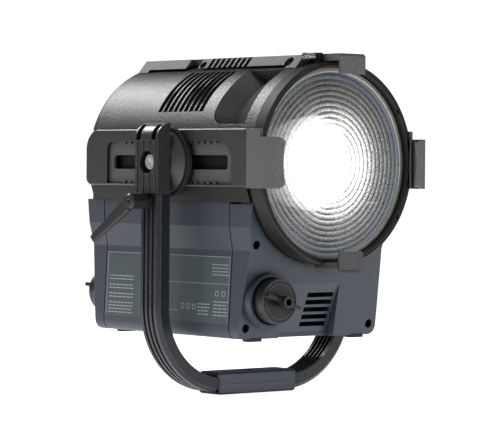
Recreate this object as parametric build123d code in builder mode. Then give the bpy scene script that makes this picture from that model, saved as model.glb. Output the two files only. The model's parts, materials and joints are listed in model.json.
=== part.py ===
from build123d import *

import os
from math import cos, radians, sin, tan

# Fresnel spotlight with an LED engine in a yoke. Millimetres, +Z up. The lens faces -Y.
# The origin is the mouth of the mounting bore, in the flat underside of the yoke's centre clamp.

os.makedirs("parts", exist_ok=True)

# ---------------------------------------------------------------- driving dimensions
AXIS_Z = 231.0             # optical and tilt axis above the mounting face
LENS_Y = -125.0            # plane of the pale ring round the lens
LENS_R = 91.0
BARREL_R = 100.0           # outside of the top shell and of the bezel
WALL = 2.5
PLAY = 0.3                 # gap between pieces of different bodies
RUN = 0.05                 # radial clearance of a shaft that turns or slides in its bore

PIVOT_Y = 2.5              # tilt axis, just behind the middle of the yoke arms
ARM_IN_X = 114.0           # inner faces of the yoke arms
ARM_BEND_R = 79.0          # bend of the extrusion's centre line
ARM_MID_X = 121.0
ARM_FOOT_Z = 9.5           # centre line of the extrusion where it runs into the clamp
ARM_W = 30.0               # extrusion, front to back
ARM_END_X = 14.0           # the two extrusions end this far from the middle
HEAD_BLOCK = (-15.0, 20.5, -30.5, 38.0)   # arm head: front, rear, bottom and top, z from the axis
HEAD_OUT_X = 131.0
BORE_R = 6.6               # mounting bore for a 12 mm or half-inch bolt

PLATE_X = 100.0            # outer faces of the side plates
PLATE_IN_X = 94.0
PLATE_TOP = 32.8
PLATE_BOTTOM = -23.6
RACK_TOP = 20.5
RACK_BOTTOM = -21.5
SLOT_HALF = 7.0
TOOTH_PITCH = 9.6

BOX_TOP = -38.0
BOX_BOTTOM = -171.0
BOX_W = 90.0
BOX_FRONT_LEAN = 9.5       # the front leans back towards the bottom, degrees
BOX_REAR_LEAN = 6.5

KNOB_X = -61.0
KNOB_Z = -133.4            # zoom shaft, from the axis
SCREW_R = 5.0
ROD_X = 70.0
ROD_Z = -25.0
ROD_R = 4.0


# ---------------------------------------------------------------- places and planes
def behind(distance):
    """The Y that lies this far behind the lens ring."""
    return LENS_Y + distance


def front(distance, x=0.0, z=0.0):
    """A plane facing the front, this far behind the lens ring, centred on the optical axis."""
    return Plane(origin=(x, behind(distance), AXIS_Z + z), x_dir=(1, 0, 0), z_dir=(0, -1, 0))


def side(x, y=0.0, z=0.0):
    """A plane facing +X. Its own x is +Y and its own y is the height above the optical axis."""
    return Plane(origin=(x, y, AXIS_Z + z), x_dir=(0, 1, 0), z_dir=(1, 0, 0))


def level(z, x=0.0, y=0.0):
    """A horizontal plane at a height above the optical axis."""
    return Plane(origin=(x, y, AXIS_Z + z))


def half_profile():
    """The plane in which a ring about the optical axis is drawn: x is radius, y is towards the rear."""
    return Plane(origin=(0, LENS_Y, AXIS_Z), x_dir=(1, 0, 0), z_dir=(0, 0, 1))


OPTIC_AXIS = Axis((0, 0, AXIS_Z), (0, 1, 0))
pieces = {}


def tube_between(x, z, start, end, radius, bore=0.0):
    """A round bar or tube along Y, between two distances behind the lens ring."""
    with BuildPart() as bar:
        with BuildSketch(front(end, x, z)):
            Circle(radius)
            if bore:
                Circle(bore, mode=Mode.SUBTRACT)
        extrude(amount=end - start)
    return bar.part


def ring_about_axis(points):
    """A ring turned about the optical axis from (radius, distance behind the lens ring) corners."""
    with BuildPart() as ring:
        with BuildSketch(half_profile()):
            with BuildLine():
                Polyline(*points, close=True)
            make_face()
        revolve(axis=OPTIC_AXIS)
    return ring.part


# ---------------------------------------------------------------- yoke
YOKE_BOTTOM = 2.0
EXTRUSION_IN = ARM_IN_X - ARM_MID_X       # inner and outer faces, from the extrusion's centre line
EXTRUSION_OUT = ARM_FOOT_Z - YOKE_BOTTOM
CHANNEL_TOP = 17.4         # the clamp's channels, a little above the extrusions where they start to bend
CLAMP_X = 51.2
CLAMP_HALF_Y = 17.4
CLAMP_SEAM = 10.8
CLAMP_TOP = 22.0
CLAMP_SCREW_X = (24.0, 42.0)
CLAMP_SCREW_R = 2.5

with BuildLine(Plane.XZ) as arm_line:
    FilletPolyline(
        (-ARM_MID_X, AXIS_Z + HEAD_BLOCK[2]),
        (-ARM_MID_X, ARM_FOOT_Z),
        (-ARM_END_X, ARM_FOOT_Z),
        radius=ARM_BEND_R,
    )

with BuildPart() as yoke_arm_left:
    arm_section = Plane(
        origin=(-ARM_MID_X, 0, AXIS_Z + HEAD_BLOCK[2]), x_dir=(-1, 0, 0), z_dir=(0, 0, -1)
    )
    with BuildSketch(arm_section):
        with BuildLine():
            Polyline(
                (EXTRUSION_IN, -ARM_W / 2),
                (EXTRUSION_OUT - 3.5, -ARM_W / 2),
                (EXTRUSION_OUT, -ARM_W / 2 + 3),
                (EXTRUSION_OUT, ARM_W / 2 - 3),
                (EXTRUSION_OUT - 3.5, ARM_W / 2),
                (EXTRUSION_IN, ARM_W / 2),
                close=True,
            )
        make_face()
        with Locations(*[(EXTRUSION_OUT, y) for y in (-6.6, 0, 6.6)]):
            Rectangle(3.0, 3.6, mode=Mode.SUBTRACT)
        with Locations(*[(EXTRUSION_IN, y) for y in (-8.4, -2.8, 2.8, 8.4)]):
            Rectangle(5.0, 4.0, mode=Mode.SUBTRACT)
    sweep(path=arm_line.wires()[0])
    with Locations(*[(-x, 0, ARM_FOOT_Z) for x in CLAMP_SCREW_X]):
        Cylinder(CLAMP_SCREW_R + 0.2, 40, mode=Mode.SUBTRACT)
pieces["yoke_arm_left"] = yoke_arm_left

with BuildPart() as yoke_arm_right:
    mirror(yoke_arm_left.part, about=Plane.YZ)
pieces["yoke_arm_right"] = yoke_arm_right

BLOCK_FRONT, BLOCK_REAR, BLOCK_LOW, BLOCK_HIGH = HEAD_BLOCK
BLOCK_MID = (BLOCK_FRONT + BLOCK_REAR) / 2
BLOCK_ROUND = 16.5
BLOCK_SLOT_Y = 12.0        # slots either side of the strap over the head, from its middle
BLOCK_SLOT_W = 7.0
BLOCK_SLOT_DEEP = 11.0
RIDGES = (-14.1, -4.7, 4.7, 14.1)
RIDGE_W = 1.3
PANEL_DEEP = 0.9           # the panels between the ridges
BUSH_R = 8.0
BUSH_FLOOR_X = 122.0       # the pivot bolt's head sits in a counterbore down to here
PIVOT_R = 6.0
BOLT_HEAD_R = 7.3
BOLT_HEAD_T = 3.6

with BuildPart() as arm_head_left:
    with BuildSketch(Plane(origin=(0, BLOCK_FRONT, AXIS_Z), x_dir=(-1, 0, 0), z_dir=(0, 1, 0))):
        with BuildLine():
            Polyline(
                (HEAD_OUT_X, BLOCK_HIGH - BLOCK_ROUND),
                (HEAD_OUT_X, BLOCK_LOW),
                (ARM_IN_X, BLOCK_LOW),
                (ARM_IN_X, BLOCK_HIGH),
                (HEAD_OUT_X - BLOCK_ROUND, BLOCK_HIGH),
            )
            RadiusArc(
                (HEAD_OUT_X - BLOCK_ROUND, BLOCK_HIGH),
                (HEAD_OUT_X, BLOCK_HIGH - BLOCK_ROUND),
                BLOCK_ROUND,
            )
        make_face()
    extrude(amount=BLOCK_REAR - BLOCK_FRONT)
    with BuildSketch(side(-HEAD_OUT_X)):
        with Locations((PIVOT_Y, 0)):
            Circle(11.4)
    extrude(amount=HEAD_OUT_X - BUSH_FLOOR_X, mode=Mode.SUBTRACT)
    with BuildSketch(side(-HEAD_OUT_X)):
        with Locations((PIVOT_Y, 0)):
            Circle(BUSH_R)
    extrude(amount=HEAD_OUT_X - ARM_IN_X, mode=Mode.SUBTRACT)
    straight_top = BLOCK_HIGH - BLOCK_ROUND
    with BuildSketch(side(-HEAD_OUT_X)):
        with Locations((BLOCK_MID, (BLOCK_LOW + straight_top) / 2)):
            Rectangle(BLOCK_REAR - BLOCK_FRONT, straight_top - BLOCK_LOW)
            with Locations(*[(y, 0) for y in RIDGES]):
                Rectangle(RIDGE_W, straight_top - BLOCK_LOW, mode=Mode.SUBTRACT)
    extrude(amount=PANEL_DEEP, mode=Mode.SUBTRACT)
    with BuildSketch(side(-HEAD_OUT_X)):
        with Locations(*[(BLOCK_MID + way * BLOCK_SLOT_Y, BLOCK_HIGH) for way in (-1, 1)]):
            Rectangle(BLOCK_SLOT_W, 2 * BLOCK_ROUND)
    extrude(amount=BLOCK_SLOT_DEEP, mode=Mode.SUBTRACT)
pieces["arm_head_left"] = arm_head_left

with BuildPart() as arm_head_right:
    mirror(arm_head_left.part, about=Plane.YZ)
pieces["arm_head_right"] = arm_head_right

with BuildPart() as pivot_bushes:
    for x in (-BUSH_FLOOR_X, ARM_IN_X):
        with BuildSketch(side(x, PIVOT_Y)):
            Circle(BUSH_R)
            Circle(PIVOT_R + RUN, mode=Mode.SUBTRACT)
        extrude(amount=BUSH_FLOOR_X - ARM_IN_X)
pieces["pivot_bushes"] = pivot_bushes


def clamp_outline():
    """The clamp seen from above, with its corners cut off."""
    with BuildSketch() as outline:
        Rectangle(2 * CLAMP_X, 2 * CLAMP_HALF_Y)
        chamfer(outline.vertices(), 3)
    return outline.sketch


with BuildPart() as clamp_lower:
    with BuildSketch(Plane.XY):
        add(clamp_outline())
    extrude(amount=CLAMP_SEAM)
    chamfer(clamp_lower.faces().sort_by(Axis.Z)[0].outer_wire().edges(), 2)
    for way in (-1, 1):
        with BuildSketch(Plane.YZ.offset(way * (ARM_END_X + CLAMP_X) / 2)):
            with Locations((0, (YOKE_BOTTOM + CLAMP_TOP) / 2)):
                Rectangle(ARM_W + 0.4, CLAMP_TOP - YOKE_BOTTOM)
        extrude(amount=(CLAMP_X - ARM_END_X) / 2 + 0.001, both=True, mode=Mode.SUBTRACT)
    with Locations((0, 0, CLAMP_SEAM)):
        Hole(BORE_R)
    for x in CLAMP_SCREW_X:
        with Locations((x, 0, YOKE_BOTTOM), (-x, 0, YOKE_BOTTOM)):
            Hole(CLAMP_SCREW_R + 0.2)
pieces["clamp_lower"] = clamp_lower

with BuildPart() as clamp_upper:
    with BuildSketch(Plane.XY.offset(CLAMP_SEAM + 0.2)):
        add(clamp_outline())
    extrude(amount=CLAMP_TOP - CLAMP_SEAM - 0.2)
    chamfer(clamp_upper.faces().sort_by(Axis.Z)[-1].outer_wire().edges(), 2)
    for way in (-1, 1):
        with BuildSketch(Plane.YZ.offset(way * (ARM_END_X + CLAMP_X) / 2)):
            with Locations((0, (CLAMP_SEAM + CHANNEL_TOP) / 2)):
                Rectangle(ARM_W + 0.4, CHANNEL_TOP - CLAMP_SEAM)
        extrude(amount=(CLAMP_X - ARM_END_X) / 2 + 0.001, both=True, mode=Mode.SUBTRACT)
    with Locations((0, 0, CLAMP_TOP)):
        Hole(BORE_R)
    for x in CLAMP_SCREW_X:
        with Locations((x, 0, CLAMP_TOP), (-x, 0, CLAMP_TOP)):
            CounterBoreHole(CLAMP_SCREW_R + 0.2, 4.6, 2.6)
pieces["clamp_upper"] = clamp_upper

with BuildPart() as clamp_screws:
    for x in CLAMP_SCREW_X:
        for way in (-1, 1):
            with BuildSketch(Plane.XY.offset(YOKE_BOTTOM + 0.2)):
                with Locations((way * x, 0)):
                    Circle(CLAMP_SCREW_R)
            extrude(amount=CLAMP_TOP - YOKE_BOTTOM - 2.8)
            with BuildSketch(Plane.XY.offset(CLAMP_TOP - 2.6)):
                with Locations((way * x, 0)):
                    Circle(4.2)
                    RegularPolygon(2.0, 6, mode=Mode.SUBTRACT)
            extrude(amount=2.4)
pieces["clamp_screws"] = clamp_screws

# ---------------------------------------------------------------- pivot, carried by the yoke
DISC_R = 31.0
PAD_R = 34.5
PAD_X = 105.0              # friction pads reach from the plates' play out to here
SHOE_HALF_Y = 17.0
SHOE_HALF_Z = 15.5
NUT_OUT_X = PLATE_IN_X - PLAY
NUT_IN_X = 90.0 + PLAY

with BuildPart() as pivot_disc_left:
    with BuildSketch(Plane(origin=(0, PIVOT_Y, AXIS_Z), x_dir=(-1, 0, 0), z_dir=(0, 1, 0))):
        with BuildLine():
            Polyline(
                (PAD_X, PIVOT_R),
                (PAD_X, DISC_R),
                (PAD_X + 2.0, DISC_R),
                (ARM_IN_X - PLAY, DISC_R - 12),
                (ARM_IN_X - PLAY, PIVOT_R),
                close=True,
            )
        make_face()
    revolve(axis=Axis((0, PIVOT_Y, AXIS_Z), (1, 0, 0)))
pieces["pivot_disc_left"] = pivot_disc_left

with BuildPart() as pivot_disc_right:
    mirror(pivot_disc_left.part, about=Plane.YZ)
pieces["pivot_disc_right"] = pivot_disc_right

with BuildPart() as friction_pads:
    for x in (-PAD_X, PLATE_X + PLAY):
        with BuildSketch(side(x, PIVOT_Y)):
            Circle(PAD_R)
            Circle(PIVOT_R, mode=Mode.SUBTRACT)
        extrude(amount=PAD_X - PLATE_X - PLAY)
pieces["friction_pads"] = friction_pads

with BuildPart() as pivot_shoe_left:
    with BuildSketch(side(-(PLATE_X + PLAY), PIVOT_Y)):
        RectangleRounded(2 * SHOE_HALF_Y, 2 * SHOE_HALF_Z, 3)
    extrude(amount=3.0 - PLAY)
    with BuildSketch(side(-(PLATE_X + PLAY), PIVOT_Y)):
        RectangleRounded(2 * SHOE_HALF_Y, 2 * (SLOT_HALF - PLAY), 3)
    extrude(amount=PLATE_X + PLAY - NUT_OUT_X)
    with BuildSketch(side(-NUT_OUT_X, PIVOT_Y)):
        Rectangle(2 * SHOE_HALF_Y, 2 * SHOE_HALF_Z)
    extrude(amount=NUT_OUT_X - NUT_IN_X)
    with BuildSketch(side(-(PLATE_X + PLAY), PIVOT_Y)):
        Circle(PIVOT_R)
    extrude(amount=PLATE_X + PLAY - NUT_IN_X, mode=Mode.SUBTRACT)
pieces["pivot_shoe_left"] = pivot_shoe_left

with BuildPart() as pivot_shoe_right:
    mirror(pivot_shoe_left.part, about=Plane.YZ)
pieces["pivot_shoe_right"] = pivot_shoe_right

with BuildPart() as pivot_bolts:
    for way in (-1, 1):
        with BuildSketch(side(way * NUT_IN_X, PIVOT_Y)):
            Circle(PIVOT_R)
        extrude(amount=way * (BUSH_FLOOR_X + PLAY - NUT_IN_X))
        with BuildSketch(side(way * (BUSH_FLOOR_X + PLAY), PIVOT_Y)):
            Circle(BOLT_HEAD_R)
        extrude(amount=way * BOLT_HEAD_T)
        with BuildSketch(side(way * (BUSH_FLOOR_X + PLAY + BOLT_HEAD_T), PIVOT_Y)):
            RegularPolygon(3.4, 6)
        extrude(amount=way * -2.4, mode=Mode.SUBTRACT)
pieces["pivot_bolts"] = pivot_bolts

# ---------------------------------------------------------------- tilt lock lever
LEVER_Z = -38.5
LEVER_R = 7.6
LEVER_IN_X = -(ARM_MID_X + EXTRUSION_OUT + PLAY)
LEVER_OUT_X = -152.5
LEVER_TIP = (-158.0, 51.0, -76.5)         # x, y, height from the axis
LEVER_ROOT_HALF = 7.0
LEVER_TIP_HALF = 4.2

with BuildPart() as tilt_lever:
    with BuildSketch(side(LEVER_OUT_X, PIVOT_Y, LEVER_Z)):
        Circle(LEVER_R)
        Circle(3.0, mode=Mode.SUBTRACT)
    extrude(amount=LEVER_IN_X - LEVER_OUT_X)
    chamfer(tilt_lever.faces().sort_by(Axis.X)[0].outer_wire().edges(), 1.6)
    handle_start = Vector(LEVER_OUT_X + 4.0, PIVOT_Y, AXIS_Z + LEVER_Z)
    handle_end = Vector(LEVER_TIP[0], LEVER_TIP[1], AXIS_Z + LEVER_TIP[2])
    handle_way = (handle_end - handle_start).normalized()
    root = Plane(origin=handle_start + handle_way * 5.5, x_dir=(1, 0, 0.0), z_dir=handle_way)
    tip = Plane(origin=handle_end, x_dir=(1, 0, 0.0), z_dir=handle_way)
    with BuildSketch(root):
        RectangleRounded(6.0, 2 * LEVER_ROOT_HALF, 2.4)
    with BuildSketch(tip):
        RectangleRounded(5.0, 2 * LEVER_TIP_HALF, 2.2)
    loft()
    with BuildSketch(side(LEVER_OUT_X - 1, PIVOT_Y, LEVER_Z)):
        Circle(3.0)
    extrude(amount=LEVER_IN_X - LEVER_OUT_X + 2, mode=Mode.SUBTRACT)
pieces["tilt_lever"] = tilt_lever

with BuildPart() as lever_screw:
    with BuildSketch(side(LEVER_OUT_X + 0.6, PIVOT_Y, LEVER_Z)):
        Circle(3.0)
        RegularPolygon(1.6, 6, mode=Mode.SUBTRACT)
    extrude(amount=LEVER_IN_X - LEVER_OUT_X - 1.0)
pieces["lever_screw"] = lever_screw

# ---------------------------------------------------------------- head: barrel shells
SHELL_FRONT = 7.0
SHELL_ROUND = 10.0
SHELL_REAR = 269.0
VENT_COUNT = 9
VENT_FIRST = 97.0          # distance behind the lens ring
VENT_PITCH = 8.1
VENT_W = 5.9
SCOOP_FRONT = 18.0
SCOOP_DEEP = 56.0
SCOOP_REAR = 78.0
SCOOP_R = 86.0
SCOOP_LOW_Z = 37.0
SCOOP_CORNER_R = 16.0
COVER_HALF = 40.0          # raised top cover: half-width at the foot of its slopes
COVER_TOP_HALF = 29.0
COVER_FOOT = 92.0
COVER_TOP = 105.0
COVER_FRONT = 10.0
COVER_REAR = 258.0


def shell_wall(radius, rear, curve):
    """A solid of revolution with a rounded rear edge, in front of its rear plane."""
    with BuildPart() as solid:
        with BuildSketch(half_profile()):
            with BuildLine():
                Polyline((radius, rear - curve), (radius, SHELL_FRONT), (0, SHELL_FRONT), (0, rear))
                Line((0, rear), (radius - curve, rear))
                RadiusArc((radius - curve, rear), (radius, rear - curve), curve)
            make_face()
        revolve(axis=OPTIC_AXIS)
    return solid.part


def arc_window(first, last, low_angle, high_angle, inner, outer):
    """A block of a ring on the left side, between two angles above the horizontal."""
    with BuildPart() as window:
        with BuildSketch(front(last)):
            with BuildLine():
                CenterArc((0, 0), outer, 180 - high_angle, high_angle - low_angle)
                CenterArc((0, 0), inner, 180 - high_angle, high_angle - low_angle)
                for angle in (low_angle, high_angle):
                    around = radians(180 - angle)
                    Line(
                        (inner * cos(around), inner * sin(around)),
                        (outer * cos(around), outer * sin(around)),
                    )
            make_face()
        extrude(amount=last - first)
    return window.part


scoop_ring = ring_about_axis(
    [(BARREL_R + 2, SCOOP_FRONT), (SCOOP_R, SCOOP_DEEP), (BARREL_R + 2, SCOOP_REAR)]
)
scoop_skin = ring_about_axis(
    [
        (BARREL_R - 1, SCOOP_FRONT + 1),
        (BARREL_R - WALL, SCOOP_FRONT - 4),
        (SCOOP_R - WALL, SCOOP_DEEP),
        (BARREL_R - WALL, SCOOP_REAR + 2),
        (BARREL_R - 1, SCOOP_REAR),
    ]
)
outer_shell = shell_wall(BARREL_R, SHELL_REAR, SHELL_ROUND)
inner_shell = shell_wall(BARREL_R - WALL, SHELL_REAR - WALL, SHELL_ROUND - WALL)
vents = [
    arc_window(
        VENT_FIRST + i * VENT_PITCH - VENT_W / 2, VENT_FIRST + i * VENT_PITCH + VENT_W / 2,
        30, 65, BARREL_R - 6, BARREL_R + 4,
    )
    for i in range(VENT_COUNT)
]
with BuildPart() as scoop_plan:
    with BuildSketch(side(-BARREL_R - 4)) as plan:
        with Locations((behind(SCOOP_REAR - 3), SCOOP_LOW_Z)):
            Rectangle(BARREL_R, BARREL_R, align=(Align.MAX, Align.MIN))
        fillet(plan.vertices().group_by(Axis.Y)[0].sort_by(Axis.X)[-1], SCOOP_CORNER_R)
    extrude(amount=BARREL_R)
scoop_arc = arc_window(SCOOP_FRONT - 6, SCOOP_REAR + 6, 20.5, 65, SCOOP_R - 10, BARREL_R + 4)
scoop_cut = scoop_ring & scoop_arc & scoop_plan.part
scoop_wall = scoop_skin & arc_window(
    SCOOP_FRONT - 6, SCOOP_REAR + 6, 20.5, 66.5, SCOOP_R - 10, BARREL_R
)

with BuildPart() as top_shell:
    add(outer_shell)
    add(inner_shell, mode=Mode.SUBTRACT)
    for way in (False, True):
        add(scoop_wall.mirror(Plane.YZ) if way else scoop_wall)
    for way in (False, True):
        add(scoop_cut.mirror(Plane.YZ) if way else scoop_cut, mode=Mode.SUBTRACT)
    for vent in vents:
        add(vent, mode=Mode.SUBTRACT)
        add(vent.mirror(Plane.YZ), mode=Mode.SUBTRACT)
    with BuildSketch(level(PLATE_TOP + 0.2)):
        with Locations((0, behind(140))):
            Rectangle(400, 400)
    extrude(amount=-200, mode=Mode.SUBTRACT)
    with BuildSketch(level(80)):
        with Locations((0, behind((COVER_FRONT + COVER_REAR) / 2))):
            Rectangle(2 * COVER_TOP_HALF - 8, COVER_REAR - COVER_FRONT - 30)
    extrude(amount=40, mode=Mode.SUBTRACT)
    with BuildSketch(front(SHELL_REAR + 1)):
        Circle(BARREL_R - SHELL_ROUND)
    extrude(amount=WALL + 2, mode=Mode.SUBTRACT)
pieces["top_shell"] = top_shell

# ---------------------------------------------------------------- head: raised top cover
SLOT_COUNT = 8
SLOT_FIRST = 89.0
SLOT_PITCH = 8.1
SLOT_W = 5.0
COVER_WINDOW = (163.0, 183.0)
COVER_OVAL = 157.5
COVER_SCREW = 26.0
SLOPE_X = (COVER_HALF + COVER_TOP_HALF) / 2

with BuildPart() as top_cover:
    with BuildSketch(front(COVER_REAR)):
        with BuildLine():
            Polyline(
                (COVER_HALF, COVER_FOOT),
                (COVER_TOP_HALF, COVER_TOP),
                (-COVER_TOP_HALF, COVER_TOP),
                (-COVER_HALF, COVER_FOOT),
            )
            RadiusArc((-COVER_HALF, COVER_FOOT), (COVER_HALF, COVER_FOOT), BARREL_R + 0.4)
        make_face()
    extrude(amount=COVER_REAR - COVER_FRONT)
    with BuildSketch(front(SHELL_REAR)):
        Circle(BARREL_R + 0.05)
    extrude(amount=SHELL_REAR, mode=Mode.SUBTRACT)
    with BuildSketch(front(COVER_REAR - 16)):
        Circle(BARREL_R + 2.2)
    extrude(amount=COVER_REAR - COVER_FRONT - 32, mode=Mode.SUBTRACT)
    for way in (-1, 1):
        with Locations(
            *[
                (way * SLOPE_X, behind(SLOT_FIRST + i * SLOT_PITCH), AXIS_Z + COVER_TOP - 6)
                for i in range(SLOT_COUNT)
            ]
        ):
            Box(11, SLOT_W, 20, mode=Mode.SUBTRACT)
        window_mid = (COVER_WINDOW[0] + COVER_WINDOW[1]) / 2
        with Locations((way * (SLOPE_X - 2), behind(window_mid), AXIS_Z + COVER_TOP - 6)):
            Box(15, COVER_WINDOW[1] - COVER_WINDOW[0], 20, mode=Mode.SUBTRACT)
        slope = Plane(
            origin=(way * SLOPE_X, 0, AXIS_Z + (COVER_TOP + COVER_FOOT) / 2),
            x_dir=(0, 1, 0),
            z_dir=(way * (COVER_TOP - COVER_FOOT), 0, COVER_HALF - COVER_TOP_HALF),
        )
        with BuildSketch(slope.offset(2)):
            with Locations((behind(COVER_OVAL), 0)):
                Circle(4.4)
            with Locations((behind(COVER_SCREW), 0)):
                Circle(5.6)
        extrude(amount=-8, mode=Mode.SUBTRACT)
    with BuildSketch(level(COVER_TOP)):
        for y in (behind(60), behind(215)):
            with Locations((0, y)):
                SlotOverall(30, 6)
    extrude(amount=-3, mode=Mode.SUBTRACT)
pieces["top_cover"] = top_cover

# ---------------------------------------------------------------- head: lower shell, sides, racks
LOWER_FRONT = 15.0
LOWER_REAR = 262.0
LOWER_X = 90.0
SKIRT_TOP_X = 97.0
SKIRT_LOW_X = 92.0
FLOOR_WINDOW_REAR = 168.0
ROD_START = 60.0
ROD_END = 224.0


def mirrored_outline(points):
    """A closed sketch from the corners of its left half, listed from top to bottom."""
    with BuildSketch() as outline:
        with BuildLine():
            Polyline(*points, *[(-x, z) for x, z in reversed(points)], close=True)
        make_face()
    return outline.sketch


with BuildPart() as lower_shell:
    with BuildSketch(front(LOWER_REAR)):
        add(
            mirrored_outline(
                [
                    (-PLATE_IN_X, PLATE_TOP),
                    (-PLATE_IN_X, PLATE_TOP - WALL),
                    (-LOWER_X, PLATE_TOP - WALL),
                    (-LOWER_X, PLATE_BOTTOM - 0.1),
                    (-SKIRT_TOP_X, PLATE_BOTTOM - 0.1),
                    (-SKIRT_LOW_X, BOX_TOP),
                ]
            )
        )
        add(
            mirrored_outline(
                [
                    (-LOWER_X + WALL, PLATE_TOP + 1),
                    (-LOWER_X + WALL, PLATE_BOTTOM - WALL),
                    (-SKIRT_TOP_X + WALL + 1, PLATE_BOTTOM - WALL),
                    (-SKIRT_LOW_X + WALL, BOX_TOP + WALL),
                ]
            ),
            mode=Mode.SUBTRACT,
        )
    extrude(amount=LOWER_REAR - LOWER_FRONT)
    with Locations((0, behind((LOWER_FRONT + FLOOR_WINDOW_REAR) / 2 - 2), AXIS_Z + BOX_TOP)):
        Box(160, FLOOR_WINDOW_REAR - LOWER_FRONT + 4, 12, mode=Mode.SUBTRACT)
    for way in (-1, 1):
        for y in (ROD_START, ROD_END - 8):
            with Locations((way * 76.5, behind(y + 4), AXIS_Z + ROD_Z)):
                Box(22, 8, 16)
    for way in (-1, 1):
        with BuildSketch(front(ROD_END + 1, way * ROD_X, ROD_Z)):
            Circle(ROD_R + 0.02)
        extrude(amount=ROD_END - ROD_START + 2, mode=Mode.SUBTRACT)
pieces["lower_shell"] = lower_shell

PLATE_FRONT = 12.0
PLATE_REAR = 267.0
WINDOW_FRONT = 34.0
WINDOW_REAR = 231.0
SLOT_FRONT = 42.6
SLOT_REAR = 222.6


def rack_window():
    """The opening of the side plate that the rack fills, with round upper corners."""
    with BuildSketch() as window:
        with Locations(((behind(WINDOW_FRONT) + behind(WINDOW_REAR)) / 2, (RACK_TOP + RACK_BOTTOM) / 2)):
            Rectangle(WINDOW_REAR - WINDOW_FRONT, RACK_TOP - RACK_BOTTOM)
        fillet(window.vertices().group_by(Axis.Y)[-1].sort_by(Axis.X)[0], 20)
        fillet(window.vertices().group_by(Axis.Y)[-1].sort_by(Axis.X)[-1], 8)
    return window.sketch


with BuildPart() as side_plate_left:
    with BuildSketch(side(-PLATE_X)) as plate_face:
        with Locations(((behind(PLATE_FRONT) + behind(PLATE_REAR)) / 2, (PLATE_TOP + PLATE_BOTTOM) / 2)):
            Rectangle(PLATE_REAR - PLATE_FRONT, PLATE_TOP - PLATE_BOTTOM)
        fillet(plate_face.vertices().group_by(Axis.X)[-1].sort_by(Axis.Y)[-1], 20)
        fillet(plate_face.vertices().group_by(Axis.Y)[0].sort_by(Axis.X)[-1], 8)
    extrude(amount=PLATE_X - PLATE_IN_X)
    chamfer(side_plate_left.faces().sort_by(Axis.X)[0].outer_wire().edges(), 1.2)
    with BuildSketch(side(-PLATE_X - 1)):
        add(rack_window())
    extrude(amount=PLATE_X - PLATE_IN_X + 2, mode=Mode.SUBTRACT)
pieces["side_plate_left"] = side_plate_left

with BuildPart() as side_plate_right:
    mirror(side_plate_left.part, about=Plane.YZ)
pieces["side_plate_right"] = side_plate_right

TOOTH_COUNT = int((WINDOW_REAR - WINDOW_FRONT - 36) / TOOTH_PITCH)
TOOTH_W = 5.2
TOOTH_H = 2.2
RACK_GROOVE_W = 3.6        # groove along the rack's front end, running out round its upper corner
RACK_GROOVE_DEEP = 2.0

with BuildPart() as rack_left:
    with BuildSketch(side(-PLATE_X + 3)):
        add(rack_window())
        with Locations(((behind(SLOT_FRONT) + behind(SLOT_REAR)) / 2, 0)):
            RectangleRounded(SLOT_REAR - SLOT_FRONT, 2 * SLOT_HALF, 3.5, mode=Mode.SUBTRACT)
    extrude(amount=PLATE_X - 3 - PLATE_IN_X)
    tooth_middle = behind((WINDOW_FRONT + WINDOW_REAR) / 2)
    for row in (RACK_TOP - TOOTH_H / 2, RACK_BOTTOM + TOOTH_H / 2):
        with BuildSketch(side(-PLATE_X + 3)):
            with Locations((tooth_middle, row)):
                with GridLocations(TOOTH_PITCH, 1, TOOTH_COUNT, 1):
                    Rectangle(TOOTH_W, TOOTH_H)
        extrude(amount=-1.8)
    with BuildSketch(side(-PLATE_X + 3)):
        add(rack_window())
        add(rack_window().moved(Location((RACK_GROOVE_W, 0, 0))), mode=Mode.SUBTRACT)
    extrude(amount=RACK_GROOVE_DEEP, mode=Mode.SUBTRACT)
pieces["rack_left"] = rack_left

with BuildPart() as rack_right:
    mirror(rack_left.part, about=Plane.YZ)
pieces["rack_right"] = rack_right

with BuildPart() as guide_rods:
    for way in (-1, 1):
        add(tube_between(way * ROD_X, ROD_Z, ROD_START, ROD_END, ROD_R))
pieces["guide_rods"] = guide_rods

# ---------------------------------------------------------------- head: front ring, clips and lens
BEZEL_FRONT = -8.0
BEZEL_IN_R = 94.0
SPIGOT_R = 97.3
CLIP_HALF = 24.5
CLIP_IN_X = 95.8
CLIP_TALL = 32.5           # top of the clip's rear part, level with the side plate
LIP_FRONT = -29.0
LIP_REAR = -26.0
LIP_X = 84.0
LIP_R = 88.0               # the lip's inner edge follows the lens
LIP_CUT_X = 9.0            # corners cut off the lip
LIP_CUT_Z = 5.0
KEEPER_HALF = 16.0
LIP_Z = 86.3
LATCH_TOP = 106.0
PIN_D = 1.0                # latch pin, behind the lens ring and above the axis
PIN_Z = 103.3
PIN_R = 2.0
NOTCH_ANGLES = (33, -33, 147, 213)
DRUM_REAR = 30.0
DRUM_R = 98.0
FOOT_HALF = 17.5           # foot of the bottom clip
FOOT_LOW_Z = 106.5
FOOT_CUT = 5.0
LIP_BOTTOM_HALF = 15.2
LIP_BOTTOM_TOP = 85.2
LIP_BOTTOM_Z = 102.6

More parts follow.
